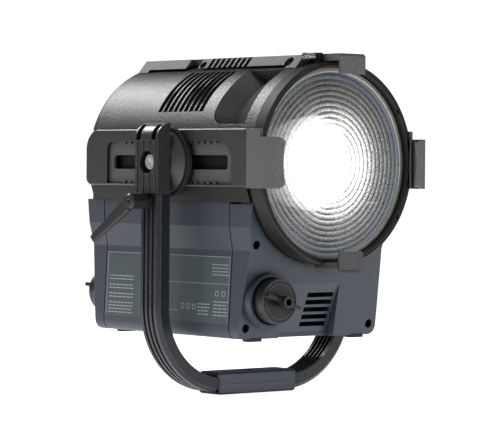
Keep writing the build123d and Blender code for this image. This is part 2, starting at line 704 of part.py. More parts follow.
bezel_ring = ring_about_axis(
    [
        (BEZEL_IN_R, BEZEL_FRONT + 1),
        (BEZEL_IN_R + 1, BEZEL_FRONT),
        (BARREL_R - 1, BEZEL_FRONT),
        (BARREL_R, BEZEL_FRONT + 1),
        (BARREL_R, SHELL_FRONT),
        (SPIGOT_R, SHELL_FRONT),
        (SPIGOT_R, PLATE_FRONT),
        (93.5, PLATE_FRONT),
        (93.5, PLATE_FRONT + 2.5),
        (86.0, PLATE_FRONT + 2.5),
        (86.0, PLATE_FRONT),
        (LENS_R + 0.1, PLATE_FRONT),
        (LENS_R + 0.1, 1.0),
        (BEZEL_IN_R, 1.0),
    ]
)
drum_ring = ring_about_axis(
    [
        (BEZEL_IN_R, PLATE_FRONT - 2),
        (SPIGOT_R - 1, PLATE_FRONT - 2),
        (DRUM_R, PLATE_FRONT),
        (DRUM_R, DRUM_REAR),
        (BEZEL_IN_R, DRUM_REAR),
    ]
)

# Below the side plates a collar reaches back to the lower shell.
with BuildPart() as collar:
    add(
        ring_about_axis(
            [
                (BEZEL_IN_R, PLATE_FRONT - 1),
                (SPIGOT_R, PLATE_FRONT - 1),
                (SPIGOT_R, LOWER_FRONT - 0.1),
                (BEZEL_IN_R, LOWER_FRONT - 0.1),
            ]
        )
    )
    with Locations((0, behind(PLATE_FRONT), AXIS_Z + PLATE_BOTTOM - 0.3 + 100)):
        Box(300, 20, 200, mode=Mode.SUBTRACT)

with BuildPart() as front_bezel:
    add(drum_ring)
    with Locations((0, behind(20), AXIS_Z + BOX_TOP - 0.5 + 100)):
        Box(300, 60, 200, mode=Mode.SUBTRACT)
    add(collar.part)
    add(bezel_ring)
    for way in (-1, 1):
        with Locations((way * (CLIP_IN_X + 10), behind(2), AXIS_Z + (CLIP_TALL - CLIP_HALF) / 2)):
            Box(20, 24, CLIP_HALF + CLIP_TALL + 0.2, mode=Mode.SUBTRACT)
        with Locations((way * (KEEPER_HALF + 4.0), behind(1), AXIS_Z + 101.5)):
            Box(6, 9, 11)
    with BuildSketch(Plane(origin=(0, behind(PIN_D), AXIS_Z + PIN_Z), x_dir=(0, 1, 0), z_dir=(1, 0, 0))):
        Circle(PIN_R)
    extrude(amount=60, both=True, mode=Mode.SUBTRACT)
    for angle in NOTCH_ANGLES:
        around = radians(angle)
        notch_r = BEZEL_IN_R + 1
        with Locations((notch_r * cos(around), behind(BEZEL_FRONT), AXIS_Z + notch_r * sin(around))):
            Box(4.0, 3.0, 5.2, mode=Mode.SUBTRACT)
pieces["front_bezel"] = front_bezel

with BuildPart() as clip_left:
    with BuildSketch(level(-CLIP_HALF)):
        with BuildLine():
            Polyline(
                (-PLATE_X, behind(PLATE_FRONT)),
                (-PLATE_X, behind(-19)),
                (-PLATE_X + 2.6, behind(LIP_FRONT)),
                (-LIP_X, behind(LIP_FRONT)),
                (-LIP_X, behind(LIP_REAR)),
                (-CLIP_IN_X, behind(LIP_REAR)),
                (-CLIP_IN_X, behind(PLATE_FRONT)),
                close=True,
            )
        make_face()
        for rib in (-13.0, -20.0):
            with Locations((-CLIP_IN_X + 1.4, behind(rib))):
                Rectangle(3.8, 1.2)
    extrude(amount=2 * CLIP_HALF)
    with BuildSketch(front(LIP_REAR)):
        Circle(LIP_R)
        for way in (-1, 1):
            with BuildLine():
                Polyline(
                    (-LIP_X + 1, way * (CLIP_HALF + 1)),
                    (-LIP_X - LIP_CUT_X, way * (CLIP_HALF + 1)),
                    (-LIP_X - LIP_CUT_X, way * CLIP_HALF),
                    (-LIP_X + 1, way * (CLIP_HALF - LIP_CUT_Z)),
                    close=True,
                )
            make_face()
    extrude(amount=LIP_REAR - LIP_FRONT, mode=Mode.SUBTRACT)
    with Locations((-PLATE_X, behind(BEZEL_FRONT), AXIS_Z + CLIP_HALF)):
        Box(
            PLATE_X - CLIP_IN_X, PLATE_FRONT - BEZEL_FRONT, CLIP_TALL - CLIP_HALF,
            align=(Align.MIN, Align.MIN, Align.MIN),
        )
pieces["clip_left"] = clip_left

with BuildPart() as clip_right:
    mirror(clip_left.part, about=Plane.YZ)
pieces["clip_right"] = clip_right

with BuildPart() as clip_bottom:
    with BuildSketch(front(6)) as foot:
        with Locations((0, -(CLIP_IN_X + FOOT_LOW_Z) / 2)):
            Rectangle(2 * FOOT_HALF, FOOT_LOW_Z - CLIP_IN_X)
        chamfer(foot.vertices().group_by(Axis.Y)[0], FOOT_CUT)
    extrude(amount=6 - LIP_REAR)
    with BuildSketch(front(6)):
        Circle(BARREL_R)
    extrude(amount=6 - BEZEL_FRONT, mode=Mode.SUBTRACT)
    with BuildSketch(front(LIP_REAR)) as lip:
        with Locations((0, -(LIP_BOTTOM_Z + LIP_BOTTOM_TOP) / 2)):
            Rectangle(2 * LIP_BOTTOM_HALF, LIP_BOTTOM_Z - LIP_BOTTOM_TOP)
        chamfer(lip.vertices(), 1.2)
    extrude(amount=LIP_REAR - LIP_FRONT)
pieces["clip_bottom"] = clip_bottom

with BuildPart() as top_latch:
    with BuildSketch(front(PIN_D)):
        with Locations((0, 98)):
            Rectangle(2 * KEEPER_HALF, 16)
        Circle(BARREL_R + PLAY + 0.1, mode=Mode.SUBTRACT)
    extrude(amount=PIN_D - LIP_FRONT)
    with BuildSketch(front(LIP_REAR)):
        with Locations((0, (LIP_Z + LATCH_TOP) / 2)):
            Rectangle(2 * KEEPER_HALF, LATCH_TOP - LIP_Z)
    extrude(amount=LIP_REAR - LIP_FRONT)
    chamfer(top_latch.edges().filter_by(Axis.X).group_by(Axis.Z)[-1].sort_by(Axis.Y)[0], 2.5)
    with BuildSketch(Plane(origin=(0, behind(PIN_D), AXIS_Z + PIN_Z), x_dir=(0, 1, 0), z_dir=(1, 0, 0))):
        Circle(2.65)
    extrude(amount=KEEPER_HALF, both=True)
    with BuildSketch(Plane(origin=(0, behind(PIN_D), AXIS_Z + PIN_Z), x_dir=(0, 1, 0), z_dir=(1, 0, 0))):
        Circle(PIN_R + RUN)
    extrude(amount=KEEPER_HALF, both=True, mode=Mode.SUBTRACT)
pieces["top_latch"] = top_latch

with BuildPart() as latch_pin:
    with BuildSketch(side(-36, behind(PIN_D), PIN_Z)):
        Circle(PIN_R)
    extrude(amount=36 + 25)
    with BuildSketch(side(-37.5, behind(PIN_D), PIN_Z)):
        Circle(3.4)
    extrude(amount=2.5)
pieces["latch_pin"] = latch_pin

with BuildPart() as latch_spring:
    with BuildSketch(side(-34, behind(PIN_D), PIN_Z)):
        Circle(3.3)
        Circle(PIN_R + RUN, mode=Mode.SUBTRACT)
    extrude(amount=10)
pieces["latch_spring"] = latch_spring

LENS_FRONT = 1.0
LENS_REAR = 10.0
LENS_RINGS = 14
CENTRE_R = 14.0
STEP = (LENS_R - 3 - CENTRE_R) / LENS_RINGS


def lens_profile():
    """Half of the stepped lens: a low dome in the middle, then rings that rise towards the edge."""
    outline = [(0, LENS_REAR), (0, LENS_FRONT + 0.6)]
    for i in range(LENS_RINGS):
        inner = CENTRE_R + i * STEP
        outline += [(inner, LENS_FRONT + 2.2), (inner + 0.2, LENS_FRONT + 0.6)]
    outline += [(LENS_R - 3, LENS_FRONT + 2.2), (LENS_R - 2.8, LENS_FRONT)]
    outline += [(LENS_R, LENS_FRONT), (LENS_R, LENS_REAR)]
    return outline


with BuildPart() as lens:
    add(ring_about_axis(lens_profile()))
pieces["lens"] = lens

with BuildPart() as lens_retainer:
    add(
        ring_about_axis(
            [
                (89.0, 1.0), (89.0, -0.4), (89.8, -1.0),
                (93.2, -1.0), (BEZEL_IN_R, -0.4), (BEZEL_IN_R, 1.0),
            ]
        )
    )
pieces["lens_retainer"] = lens_retainer

with BuildPart() as lens_gasket:
    add(ring_about_axis([(86.0, LENS_REAR), (LENS_R, LENS_REAR), (LENS_R, 12.0), (86.0, 12.0)]))
pieces["lens_gasket"] = lens_gasket

# ---------------------------------------------------------------- electronics box
BOX_CORNER_R = 9.0
BOX_WAIST_X = 86.0
BOX_WAIST_Z = -85.0
BOX_WIDE_Z = -158.0
BAND_Z = -62.0
CAP_FRONT_SEAM = 47.0
CAP_REAR_SEAM = 248.0
SEAM_W = 1.2               # grooves in the cover where it meets the caps
SEAM_DEEP = 1.0
CAP_WALL = 3.0
FRONT_TOP_D = 13.0         # the front face at the top of the box, behind the lens ring
REAR_TOP_D = 276.0
CASE_SCREW_R = 4.4
BOSS_R = 26.0
BOSS_IN_R = 23.0
BOSS_FRONT = 19.3
RAMP_X = (-40.0, 37.0)
RAMP_TOP = -118.0
RAMP_FOOT = -166.0
RAMP_FOOT_D = 45.5
GRILLE_X = 13.6
GRILLE_W = 34.5
GRILLE_TOP = -129.5
GRILLE_PITCH = 7.3
GRILLE_COUNT = 5


def front_face(z):
    """How far behind the lens ring the box's leaning front is, at a height from the axis."""
    return FRONT_TOP_D + (BOX_TOP - z) * tan(radians(BOX_FRONT_LEAN))


def rear_face(z):
    """The same for the box's rear."""
    return REAR_TOP_D - (BOX_TOP - z) * tan(radians(BOX_REAR_LEAN))


def box_outline(inset, top):
    """The box seen from the front: a straight band, a waist, a wider foot and round lower corners."""
    left = [
        (-BOX_W + inset, top),
        (-BOX_W + inset, BAND_Z),
        (-BOX_WAIST_X + inset, BOX_WAIST_Z),
        (-BOX_W + inset, BOX_WIDE_Z),
        (-BOX_W + inset, BOX_BOTTOM + inset),
    ]
    with BuildSketch() as outline:
        add(mirrored_outline(left))
        fillet(outline.vertices().group_by(Axis.Y)[0], BOX_CORNER_R - inset)
    return outline.sketch


def box_solid(inset, top, wall):
    """The whole box between its leaning front and rear, made smaller by an inset."""
    with BuildPart() as solid:
        with BuildSketch(front(300)):
            add(box_outline(inset, top))
        extrude(amount=300)
        with BuildSketch(side(-120, LENS_Y)):
            with BuildLine():
                Polyline(
                    (front_face(20) + wall, 20),
                    (front_face(-200) + wall, -200),
                    (rear_face(-200) - wall, -200),
                    (rear_face(20) - wall, 20),
                    close=True,
                )
            make_face()
        extrude(amount=240, mode=Mode.INTERSECT)
    return solid.part


box_outer = box_solid(0, BOX_TOP, 0)
box_inner = box_solid(WALL, BOX_TOP + 10, CAP_WALL)

seam_skin = box_outer - box_solid(SEAM_DEEP, BOX_TOP - SEAM_DEEP, 0)

with BuildPart() as box_cover:
    add(box_outer)
    add(box_inner, mode=Mode.SUBTRACT)
    for start in (CAP_FRONT_SEAM, CAP_REAR_SEAM - SEAM_W):
        with BuildPart(mode=Mode.PRIVATE) as seam_slab:
            with BuildSketch(front(start + SEAM_W)):
                Rectangle(300, 500)
            extrude(amount=SEAM_W)
        add(seam_skin & seam_slab.part, mode=Mode.SUBTRACT)
    with BuildSketch(front(CAP_FRONT_SEAM)):
        Rectangle(300, 500)
    extrude(amount=80, mode=Mode.SUBTRACT)
    with BuildSketch(front(400)):
        Rectangle(300, 500)
    extrude(amount=400 - CAP_REAR_SEAM, mode=Mode.SUBTRACT)
pieces["box_cover"] = box_cover

CASE_SCREWS = [(-79.0, -79.0), (-80.5, -160.0), (79.0, -79.0), (80.5, -160.0)]

with BuildPart() as front_pillars:
    for x, z in CASE_SCREWS:
        add(tube_between(x, z, front_face(z) - 4, CAP_FRONT_SEAM - 0.5, 7.5))
with BuildPart() as rear_pillars:
    for x, z in CASE_SCREWS:
        add(tube_between(x, z, CAP_REAR_SEAM + 0.5, rear_face(z) + 4, 7.5))
ramp_slab = side(RAMP_X[0], LENS_Y)

with BuildPart() as box_front_cap:
    add(box_outer)
    add(box_inner, mode=Mode.SUBTRACT)
    add(front_pillars.part & box_outer)
    with BuildSketch(ramp_slab):
        with BuildLine():
            Polyline(
                (front_face(RAMP_TOP) + 1, RAMP_TOP + 8),
                (front_face(RAMP_TOP) + 6, RAMP_TOP + 8),
                (CAP_FRONT_SEAM, RAMP_FOOT),
                (CAP_FRONT_SEAM, BOX_BOTTOM),
                (RAMP_FOOT_D, BOX_BOTTOM),
                (RAMP_FOOT_D, RAMP_FOOT),
                (front_face(RAMP_TOP), RAMP_TOP),
                close=True,
            )
        make_face()
    extrude(amount=RAMP_X[1] - RAMP_X[0])
    for x in (RAMP_X[0], RAMP_X[1] - WALL):
        with BuildSketch(side(x, LENS_Y)):
            with BuildLine():
                Polyline(
                    (front_face(RAMP_TOP) + 1, RAMP_TOP),
                    (CAP_FRONT_SEAM, RAMP_TOP),
                    (CAP_FRONT_SEAM, BOX_BOTTOM),
                    (front_face(BOX_BOTTOM) + 1, BOX_BOTTOM),
                    close=True,
                )
            make_face()
        extrude(amount=WALL)
    with BuildSketch(side(RAMP_X[0] + WALL, LENS_Y)):
        with BuildLine():
            Polyline(
                (front_face(RAMP_TOP) - 10, RAMP_TOP),
                (front_face(RAMP_TOP), RAMP_TOP),
                (RAMP_FOOT_D, RAMP_FOOT),
                (RAMP_FOOT_D, BOX_BOTTOM - 5),
                (0, BOX_BOTTOM - 5),
                close=True,
            )
        make_face()
    extrude(amount=RAMP_X[1] - RAMP_X[0] - 2 * WALL, mode=Mode.SUBTRACT)
    add(tube_between(KNOB_X, KNOB_Z, BOSS_FRONT, front_face(KNOB_Z) + CAP_WALL + 4, BOSS_R))
    boss_floor = front_face(KNOB_Z) + 2
    add(tube_between(KNOB_X, KNOB_Z, BOSS_FRONT - 1, boss_floor, BOSS_IN_R), mode=Mode.SUBTRACT)
    add(tube_between(KNOB_X, KNOB_Z, BOSS_FRONT - 1, CAP_FRONT_SEAM, 9.0), mode=Mode.SUBTRACT)
    for i in range(GRILLE_COUNT):
        with Locations((GRILLE_X, behind(37), AXIS_Z + GRILLE_TOP - i * GRILLE_PITCH)):
            Box(GRILLE_W, 60, 4.6, mode=Mode.SUBTRACT)
    for x, z in CASE_SCREWS:
        hole = tube_between(x, z, -5, front_face(z) + 9, CASE_SCREW_R)
        add(hole, mode=Mode.SUBTRACT)
    add(tube_between(0, 0, -20, 60, DRUM_R + 0.4), mode=Mode.SUBTRACT)
    with BuildSketch(front(400)):
        Rectangle(300, 500)
    extrude(amount=400 - CAP_FRONT_SEAM, mode=Mode.SUBTRACT)
pieces["box_front_cap"] = box_front_cap

# ---------------------------------------------------------------- rear panel
PANEL_Z = -100.0
PANEL_LEAN = radians(BOX_REAR_LEAN)
PANEL_OUT = (0, cos(PANEL_LEAN), -sin(PANEL_LEAN))
DISPLAY_AT = (-2.0, 33.0)
DISPLAY_SIZE = (62.0, 28.0)
ENCODER_AT = (50.0, 33.0)
ENCODER_R = 9.0
BUTTONS_AT = [(-50.0, 41.0), (-50.0, 24.0)]
BUTTON_R = 5.0
POWER_AT = [(-58.0, -38.0), (-22.0, -38.0)]
POWER_SIZE = (28.0, 32.0)
SOCKET_R = 11.5
SOCKET_DEEP = 15.0
DATA_AT = [(14.0, -28.0), (14.0, -53.0)]
DATA_R = 10.0
REAR_BOSS_REAR = 270.0


def panel(out=0.0):
    """The rear panel's face, seen from behind: x runs to the right there, y runs up."""
    origin = Vector(0, behind(rear_face(PANEL_Z)), AXIS_Z + PANEL_Z) + Vector(PANEL_OUT) * out
    return Plane(origin=origin, x_dir=(-1, 0, 0), z_dir=PANEL_OUT)


with BuildPart() as box_rear_cap:
    add(box_outer)
    add(box_inner, mode=Mode.SUBTRACT)
    add(rear_pillars.part & box_outer)
    with BuildSketch(front(CAP_REAR_SEAM)):
        Rectangle(300, 500)
    extrude(amount=400, mode=Mode.SUBTRACT)
    add(tube_between(KNOB_X, KNOB_Z, rear_face(KNOB_Z) - CAP_WALL - 4, REAR_BOSS_REAR, BOSS_R))
    add(tube_between(KNOB_X, KNOB_Z, CAP_REAR_SEAM - 1, REAR_BOSS_REAR + 1, 9.0), mode=Mode.SUBTRACT)
    with BuildSketch(panel(5)):
        with Locations(DISPLAY_AT):
            RectangleRounded(*DISPLAY_SIZE, 2)
        with Locations(ENCODER_AT):
            Circle(4.0 + PLAY)
        with Locations(*BUTTONS_AT):
            Circle(BUTTON_R + PLAY)
        with Locations(*POWER_AT):
            RectangleRounded(*POWER_SIZE, 3)
        with Locations(*DATA_AT):
            Circle(DATA_R)
    extrude(amount=-14, mode=Mode.SUBTRACT)
    for x, z in CASE_SCREWS:
        hole = tube_between(x, z, rear_face(z) - 7, 300, CASE_SCREW_R)
        add(hole, mode=Mode.SUBTRACT)
pieces["box_rear_cap"] = box_rear_cap

with BuildPart() as case_screws:
    for x, z in CASE_SCREWS:
        add(tube_between(x, z, front_face(z) + 6.5, front_face(z) + 9, CASE_SCREW_R))
        add(tube_between(x, z, rear_face(z) - 7, rear_face(z) - 4.5, CASE_SCREW_R))
pieces["case_screws"] = case_screws

with BuildPart() as display_window:
    with BuildSketch(panel(0.6)):
        with Locations(DISPLAY_AT):
            RectangleRounded(*DISPLAY_SIZE, 2)
    extrude(amount=-3.6)
pieces["display_window"] = display_window

with BuildPart() as power_ports:
    with BuildSketch(panel(1.5)):
        with Locations(*POWER_AT):
            RectangleRounded(*POWER_SIZE, 3)
    extrude(amount=-20)
    with BuildSketch(panel(1.5)):
        with Locations(*POWER_AT):
            Circle(SOCKET_R)
    extrude(amount=-SOCKET_DEEP, mode=Mode.SUBTRACT)
    with BuildSketch(panel(1.5 - SOCKET_DEEP)):
        with Locations(*POWER_AT):
            with PolarLocations(6.5, 3, 90):
                Rectangle(1.4, 5.0)
    extrude(amount=4.0)
pieces["power_ports"] = power_ports

with BuildPart() as data_ports:
    with BuildSketch(panel(1.5)):
        with Locations(*DATA_AT):
            Circle(DATA_R)
    extrude(amount=-16)
    with BuildSketch(panel(1.5)):
        with Locations(*DATA_AT):
            Circle(7.5)
    extrude(amount=-9, mode=Mode.SUBTRACT)
    with BuildSketch(panel(-7.5)):
        with Locations(*DATA_AT):
            with PolarLocations(4.2, 5):
                Circle(0.9)
    extrude(amount=4.5)
pieces["data_ports"] = data_ports

with BuildPart() as encoder_knob:
    with BuildSketch(panel(1.0)):
        with Locations(ENCODER_AT):
            Circle(ENCODER_R)
            with PolarLocations(ENCODER_R, 18):
                Circle(0.6, mode=Mode.SUBTRACT)
    extrude(amount=11)
    with BuildSketch(panel(1.0)):
        with Locations(ENCODER_AT):
            Circle(4.0)
    extrude(amount=-8)
pieces["encoder_knob"] = encoder_knob

for name, place in zip(("menu_button_upper", "menu_button_lower"), BUTTONS_AT):
    with BuildPart() as menu_button:
        with BuildSketch(panel(2.4)):
            with Locations(place):
                Circle(BUTTON_R)
        extrude(amount=-5.0)
        fillet(menu_button.edges().sort_by(Axis.Y)[-1], 0.6)
    pieces[name] = menu_button

FOOT_X = 66.6
FOOT_SIZE = (17.0, 12.0)
FEET_AT = (40.0, 240.0)

with BuildPart() as feet:
    with BuildSketch(level(BOX_BOTTOM)):
        with Locations(*[(way * FOOT_X, behind(d)) for way in (-1, 1) for d in FEET_AT]):
            RectangleRounded(*FOOT_SIZE, 2.5)
    extrude(amount=-2.5)
pieces["feet"] = feet

LABEL_TOP = -91.0
LABEL_LOW = -157.0
LABEL_FRONT = 48.8
LABEL_REAR = 246.2
SIDE_RISE = (BOX_W - BOX_WAIST_X) / (BOX_WAIST_Z - BOX_WIDE_Z)


def side_x(z):
    """The half-width of the box between its waist and its wide foot."""
    return BOX_WAIST_X + (BOX_WAIST_Z - z) * SIDE_RISE


with BuildPart() as labels:
    for way in (-1, 1):
        with BuildSketch(front(LABEL_REAR)):
            with BuildLine():
                Polyline(
                    (way * side_x(LABEL_TOP), LABEL_TOP),
                    (way * (side_x(LABEL_TOP) + 0.3), LABEL_TOP),
                    (way * (side_x(LABEL_LOW) + 0.3), LABEL_LOW),
                    (way * side_x(LABEL_LOW), LABEL_LOW),
                    close=True,
                )
            make_face()
        extrude(amount=LABEL_REAR - LABEL_FRONT)
pieces["labels"] = labels

# ---------------------------------------------------------------- inside the box
BOARD_X = 22.0             # the electronics stand beside the zoom screw
BOARD_W = 106.0
SUPPLY_D = 155.0
SUPPLY_Z = -162.0          # underside of the power supply, on a plinth from the floor of the box
SUPPLY_H = 44.0
DRIVER_D = 210.0
DRIVER_Z = -70.0

with BuildPart() as power_supply:
    with Locations((BOARD_X, behind(SUPPLY_D), AXIS_Z + SUPPLY_Z + SUPPLY_H / 2)):
        Box(BOARD_W, 170, SUPPLY_H)
    fillet(power_supply.edges().filter_by(Axis.Y), 2)
    plinth = SUPPLY_Z - BOX_BOTTOM - WALL
    with Locations((BOARD_X, behind(SUPPLY_D), AXIS_Z + SUPPLY_Z - plinth / 2)):
        Box(90, 150, plinth)
pieces["power_supply"] = power_supply

with BuildPart() as driver_board:
    with Locations((BOARD_X, behind(DRIVER_D), AXIS_Z + DRIVER_Z)):
        Box(BOARD_W, 80, 1.6)
    for x, distance in ((-10, 200), (25, 190), (60, 215)):
        with Locations((x, behind(distance), AXIS_Z + DRIVER_Z + 6.8)):
            Box(16, 22, 12)
    post = DRIVER_Z - SUPPLY_Z - SUPPLY_H
    with Locations((BOARD_X, behind(DRIVER_D), AXIS_Z + DRIVER_Z - post / 2)):
        with GridLocations(100, 72, 2, 2):
            Cylinder(3, post)
pieces["driver_board"] = driver_board

# ---------------------------------------------------------------- LED carriage
CARRIAGE_D = 122.0
PLATE_T = 6.0
SINK_LOW = -33.0
SINK_HIGH = 58.0
SINK_HALF = 52.0
FIN_COUNT = 14
ARM_X = (-74.0, -48.0)
MIXER_FRONT_D = 25.0       # the diffuser that closes the mixing tunnel
MIXER_FRONT_R = 47.0
MIXER_REAR_R = 31.0

with BuildPart() as carriage_plate:
    with BuildSketch(front(CARRIAGE_D + PLATE_T)):
        with Locations((0, 6)):
            Rectangle(156, 78)
        with Locations(((ARM_X[0] + ARM_X[1]) / 2, -92)):
            Rectangle(ARM_X[1] - ARM_X[0], 120)
        with Locations((KNOB_X, KNOB_Z)):
            Circle(SCREW_R + 1.5, mode=Mode.SUBTRACT)
    extrude(amount=PLATE_T)
    for way in (-1, 1):
        add(tube_between(way * ROD_X, ROD_Z, CARRIAGE_D, CARRIAGE_D + 26, 7.5))
    for way in (-1, 1):
        bore = tube_between(way * ROD_X, ROD_Z, CARRIAGE_D - 1, CARRIAGE_D + 27, ROD_R + RUN)
        add(bore, mode=Mode.SUBTRACT)
pieces["carriage_plate"] = carriage_plate

with BuildPart() as heat_sink:
    with Locations((0, behind(CARRIAGE_D + PLATE_T + 4), AXIS_Z + (SINK_LOW + SINK_HIGH) / 2)):
        Box(2 * SINK_HALF, 8, SINK_HIGH - SINK_LOW)
    with Locations((0, behind(CARRIAGE_D + PLATE_T + 33), AXIS_Z + (SINK_LOW + SINK_HIGH) / 2)):
        with GridLocations((2 * SINK_HALF - 2) / (FIN_COUNT - 1), 1, FIN_COUNT, 1):
            Box(2, 50, SINK_HIGH - SINK_LOW)
pieces["heat_sink"] = heat_sink

with BuildPart() as led_board:
    add(tube_between(0, 0, CARRIAGE_D - 2, CARRIAGE_D, 38))
    with BuildSketch(front(CARRIAGE_D - 2)):
        with GridLocations(6, 6, 7, 7):
            Rectangle(4, 4)
    extrude(amount=1.2)
pieces["led_board"] = led_board

with BuildPart() as light_mixer:
    with BuildSketch(half_profile()):
        with BuildLine():
            Polyline(
                (MIXER_REAR_R, CARRIAGE_D - 2),
                (38, CARRIAGE_D - 2),
                (38, CARRIAGE_D - 5),
                (MIXER_REAR_R + 2, CARRIAGE_D - 5),
                (MIXER_FRONT_R, MIXER_FRONT_D + 4),
                (MIXER_FRONT_R, MIXER_FRONT_D),
                (0, MIXER_FRONT_D),
                (0, MIXER_FRONT_D + 2),
                (MIXER_FRONT_R - 2, MIXER_FRONT_D + 2),
                (MIXER_REAR_R, CARRIAGE_D - 5),
                close=True,
            )
        make_face()
    revolve(axis=OPTIC_AXIS)
pieces["light_mixer"] = light_mixer

with BuildPart() as lead_nut:
    with BuildSketch(front(CARRIAGE_D, KNOB_X, KNOB_Z)):
        RectangleRounded(22, 22, 3)
        Circle(SCREW_R + RUN, mode=Mode.SUBTRACT)
    extrude(amount=12)
pieces["lead_nut"] = lead_nut

# ---------------------------------------------------------------- zoom shaft and knobs
KNOB_R = 21.7
KNOB_FACE = 6.3
KNOB_BACK = 24.0
REAR_KNOB_BACK = 271.0
REAR_KNOB_FACE = 283.0
HUB_R = 5.6
HUB_OUT = 13.9
KNOB_WEB = 4.0             # solid part of a knob between its face and the end of the shaft
HUB_BORE = 3.5
WING_H = 8.5
WING_T = 3.4
WING_TURN = -19.0          # the wings lie this far from level, seen from the front
BUSH_FRONT_D = 30.0
BUSH_REAR_D = 258.0

with BuildPart() as zoom_screw:
    add(tube_between(KNOB_X, KNOB_Z, KNOB_FACE + KNOB_WEB, REAR_KNOB_FACE - KNOB_WEB, SCREW_R))
pieces["zoom_screw"] = zoom_screw


def wing_knob(face, depth, way):
    """A round knob with a hollow hub and a finger wing across its face. It faces the front for way 1."""
    with BuildPart() as knob:
        with BuildSketch(front(face, KNOB_X, KNOB_Z)):
            Circle(KNOB_R)
        extrude(amount=-way * depth)
        with BuildSketch(front(face, KNOB_X, KNOB_Z)):
            Rectangle(2 * KNOB_R + 4, WING_T, rotation=WING_TURN)
            Circle(KNOB_R - 0.3, mode=Mode.INTERSECT)
        extrude(amount=way * WING_H)
        with BuildSketch(front(face, KNOB_X, KNOB_Z)):
            Circle(HUB_R)
        extrude(amount=way * HUB_OUT)
        with BuildSketch(front(face, KNOB_X, KNOB_Z)):
            Circle(HUB_BORE)
        extrude(amount=way * HUB_OUT, mode=Mode.SUBTRACT)
        with BuildSketch(front(face + way * KNOB_WEB, KNOB_X, KNOB_Z)):
            Circle(SCREW_R)
        extrude(amount=-way * (depth - KNOB_WEB), mode=Mode.SUBTRACT)
    return knob.part


with BuildPart() as zoom_knob_front:
    add(wing_knob(KNOB_FACE, KNOB_BACK - KNOB_FACE, 1))
pieces["zoom_knob_front"] = zoom_knob_front

with BuildPart() as zoom_knob_rear:
    add(wing_knob(REAR_KNOB_FACE, REAR_KNOB_FACE - REAR_KNOB_BACK, -1))
pieces["zoom_knob_rear"] = zoom_knob_rear

with BuildPart() as shaft_bushes:
    for start, end in ((BUSH_FRONT_D - 2, BUSH_FRONT_D + 8), (BUSH_REAR_D, REAR_BOSS_REAR - 1)):
        add(tube_between(KNOB_X, KNOB_Z, start, end, 9.0, SCREW_R + RUN))
pieces["shaft_bushes"] = shaft_bushes

# ---------------------------------------------------------------- cooling fan and rear cover
FAN_Z = 13.0
FAN_FRONT = 234.0
FAN_REAR = 259.0
FAN_HALF = 46.0
FAN_BORE = 43.0
HUB_FAN_R = 18.0
BLADE_R = 40.5
BLADE_COUNT = 7
COVER_PLATE_FRONT = 262.0
COVER_PLATE_REAR = 266.0
GUARD_RINGS = (34.0, 27.0, 20.0, 13.0)     # from the outside in: each cut leaves its own disc
GUARD_GAP = 4.6

with BuildPart() as fan_frame:
    with BuildSketch(front(FAN_REAR, 0, FAN_Z)):
        RectangleRounded(2 * FAN_HALF, 2 * FAN_HALF, 5)
        Circle(FAN_BORE, mode=Mode.SUBTRACT)
        with GridLocations(82.5, 82.5, 2, 2):
            Circle(2.2, mode=Mode.SUBTRACT)
    extrude(amount=FAN_REAR - FAN_FRONT)
    with BuildSketch(front(FAN_REAR, 0, FAN_Z)):
        Circle(HUB_FAN_R - 1)
        for angle in (45, 135):
            Rectangle(2 * FAN_BORE + 2, 5, rotation=angle)
    extrude(amount=3)
pieces["fan_frame"] = fan_frame

with BuildPart() as fan_rotor:
    add(tube_between(0, FAN_Z, FAN_FRONT + 2, FAN_REAR - 3 - PLAY, HUB_FAN_R))
    fan_middle = (FAN_FRONT + FAN_REAR - 2) / 2
    for i in range(BLADE_COUNT):
        turned = Location((0, behind(fan_middle), AXIS_Z + FAN_Z), (0, i * 360 / BLADE_COUNT, 0))
        with Locations(turned * Location(((HUB_FAN_R + BLADE_R) / 2 - 0.5, 0, 0), (38, 0, 0))):
            Box(BLADE_R - HUB_FAN_R + 1, 21, 1.8)
pieces["fan_rotor"] = fan_rotor

with BuildPart() as rear_cover:
    with BuildSketch(front(COVER_PLATE_REAR)):
        Circle(BARREL_R - SHELL_ROUND - 0.2)
        with Locations((0, -150 + PLATE_TOP)):
            Rectangle(400, 300, mode=Mode.SUBTRACT)
        with Locations((0, (PLATE_TOP + BOX_TOP) / 2 + 0.1)):
            Rectangle(2 * (SKIRT_LOW_X - 1), PLATE_TOP - BOX_TOP)
        for radius in GUARD_RINGS:
            with Locations((0, FAN_Z)):
                Circle(radius + GUARD_GAP, mode=Mode.SUBTRACT)
                Circle(radius)
        with Locations((0, FAN_Z)):
            for angle in (0, 60, 120):
                Rectangle(2 * GUARD_RINGS[0] + 14, 4, rotation=angle)
    extrude(amount=COVER_PLATE_REAR - COVER_PLATE_FRONT)
pieces["rear_cover"] = rear_cover

# ---------------------------------------------------------------- output
for name, piece in pieces.items():
    piece.part.label = name
    export_step(piece.part, f"parts/{name}.step")
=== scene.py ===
import json
from math import cos, pi, radians, sin

import bmesh
import bpy
from mathutils import Matrix, Vector


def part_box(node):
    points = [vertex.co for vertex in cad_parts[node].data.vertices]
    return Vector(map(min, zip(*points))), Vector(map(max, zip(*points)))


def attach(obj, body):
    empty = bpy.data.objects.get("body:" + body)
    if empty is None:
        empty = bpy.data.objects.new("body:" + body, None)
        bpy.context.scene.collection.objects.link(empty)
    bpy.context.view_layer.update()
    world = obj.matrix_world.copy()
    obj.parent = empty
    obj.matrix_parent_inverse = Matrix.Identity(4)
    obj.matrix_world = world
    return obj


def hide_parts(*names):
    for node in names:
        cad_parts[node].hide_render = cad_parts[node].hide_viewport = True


# Looks for the fresnel spotlight. Metres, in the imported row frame: the lens faces -Y and +Z is up.

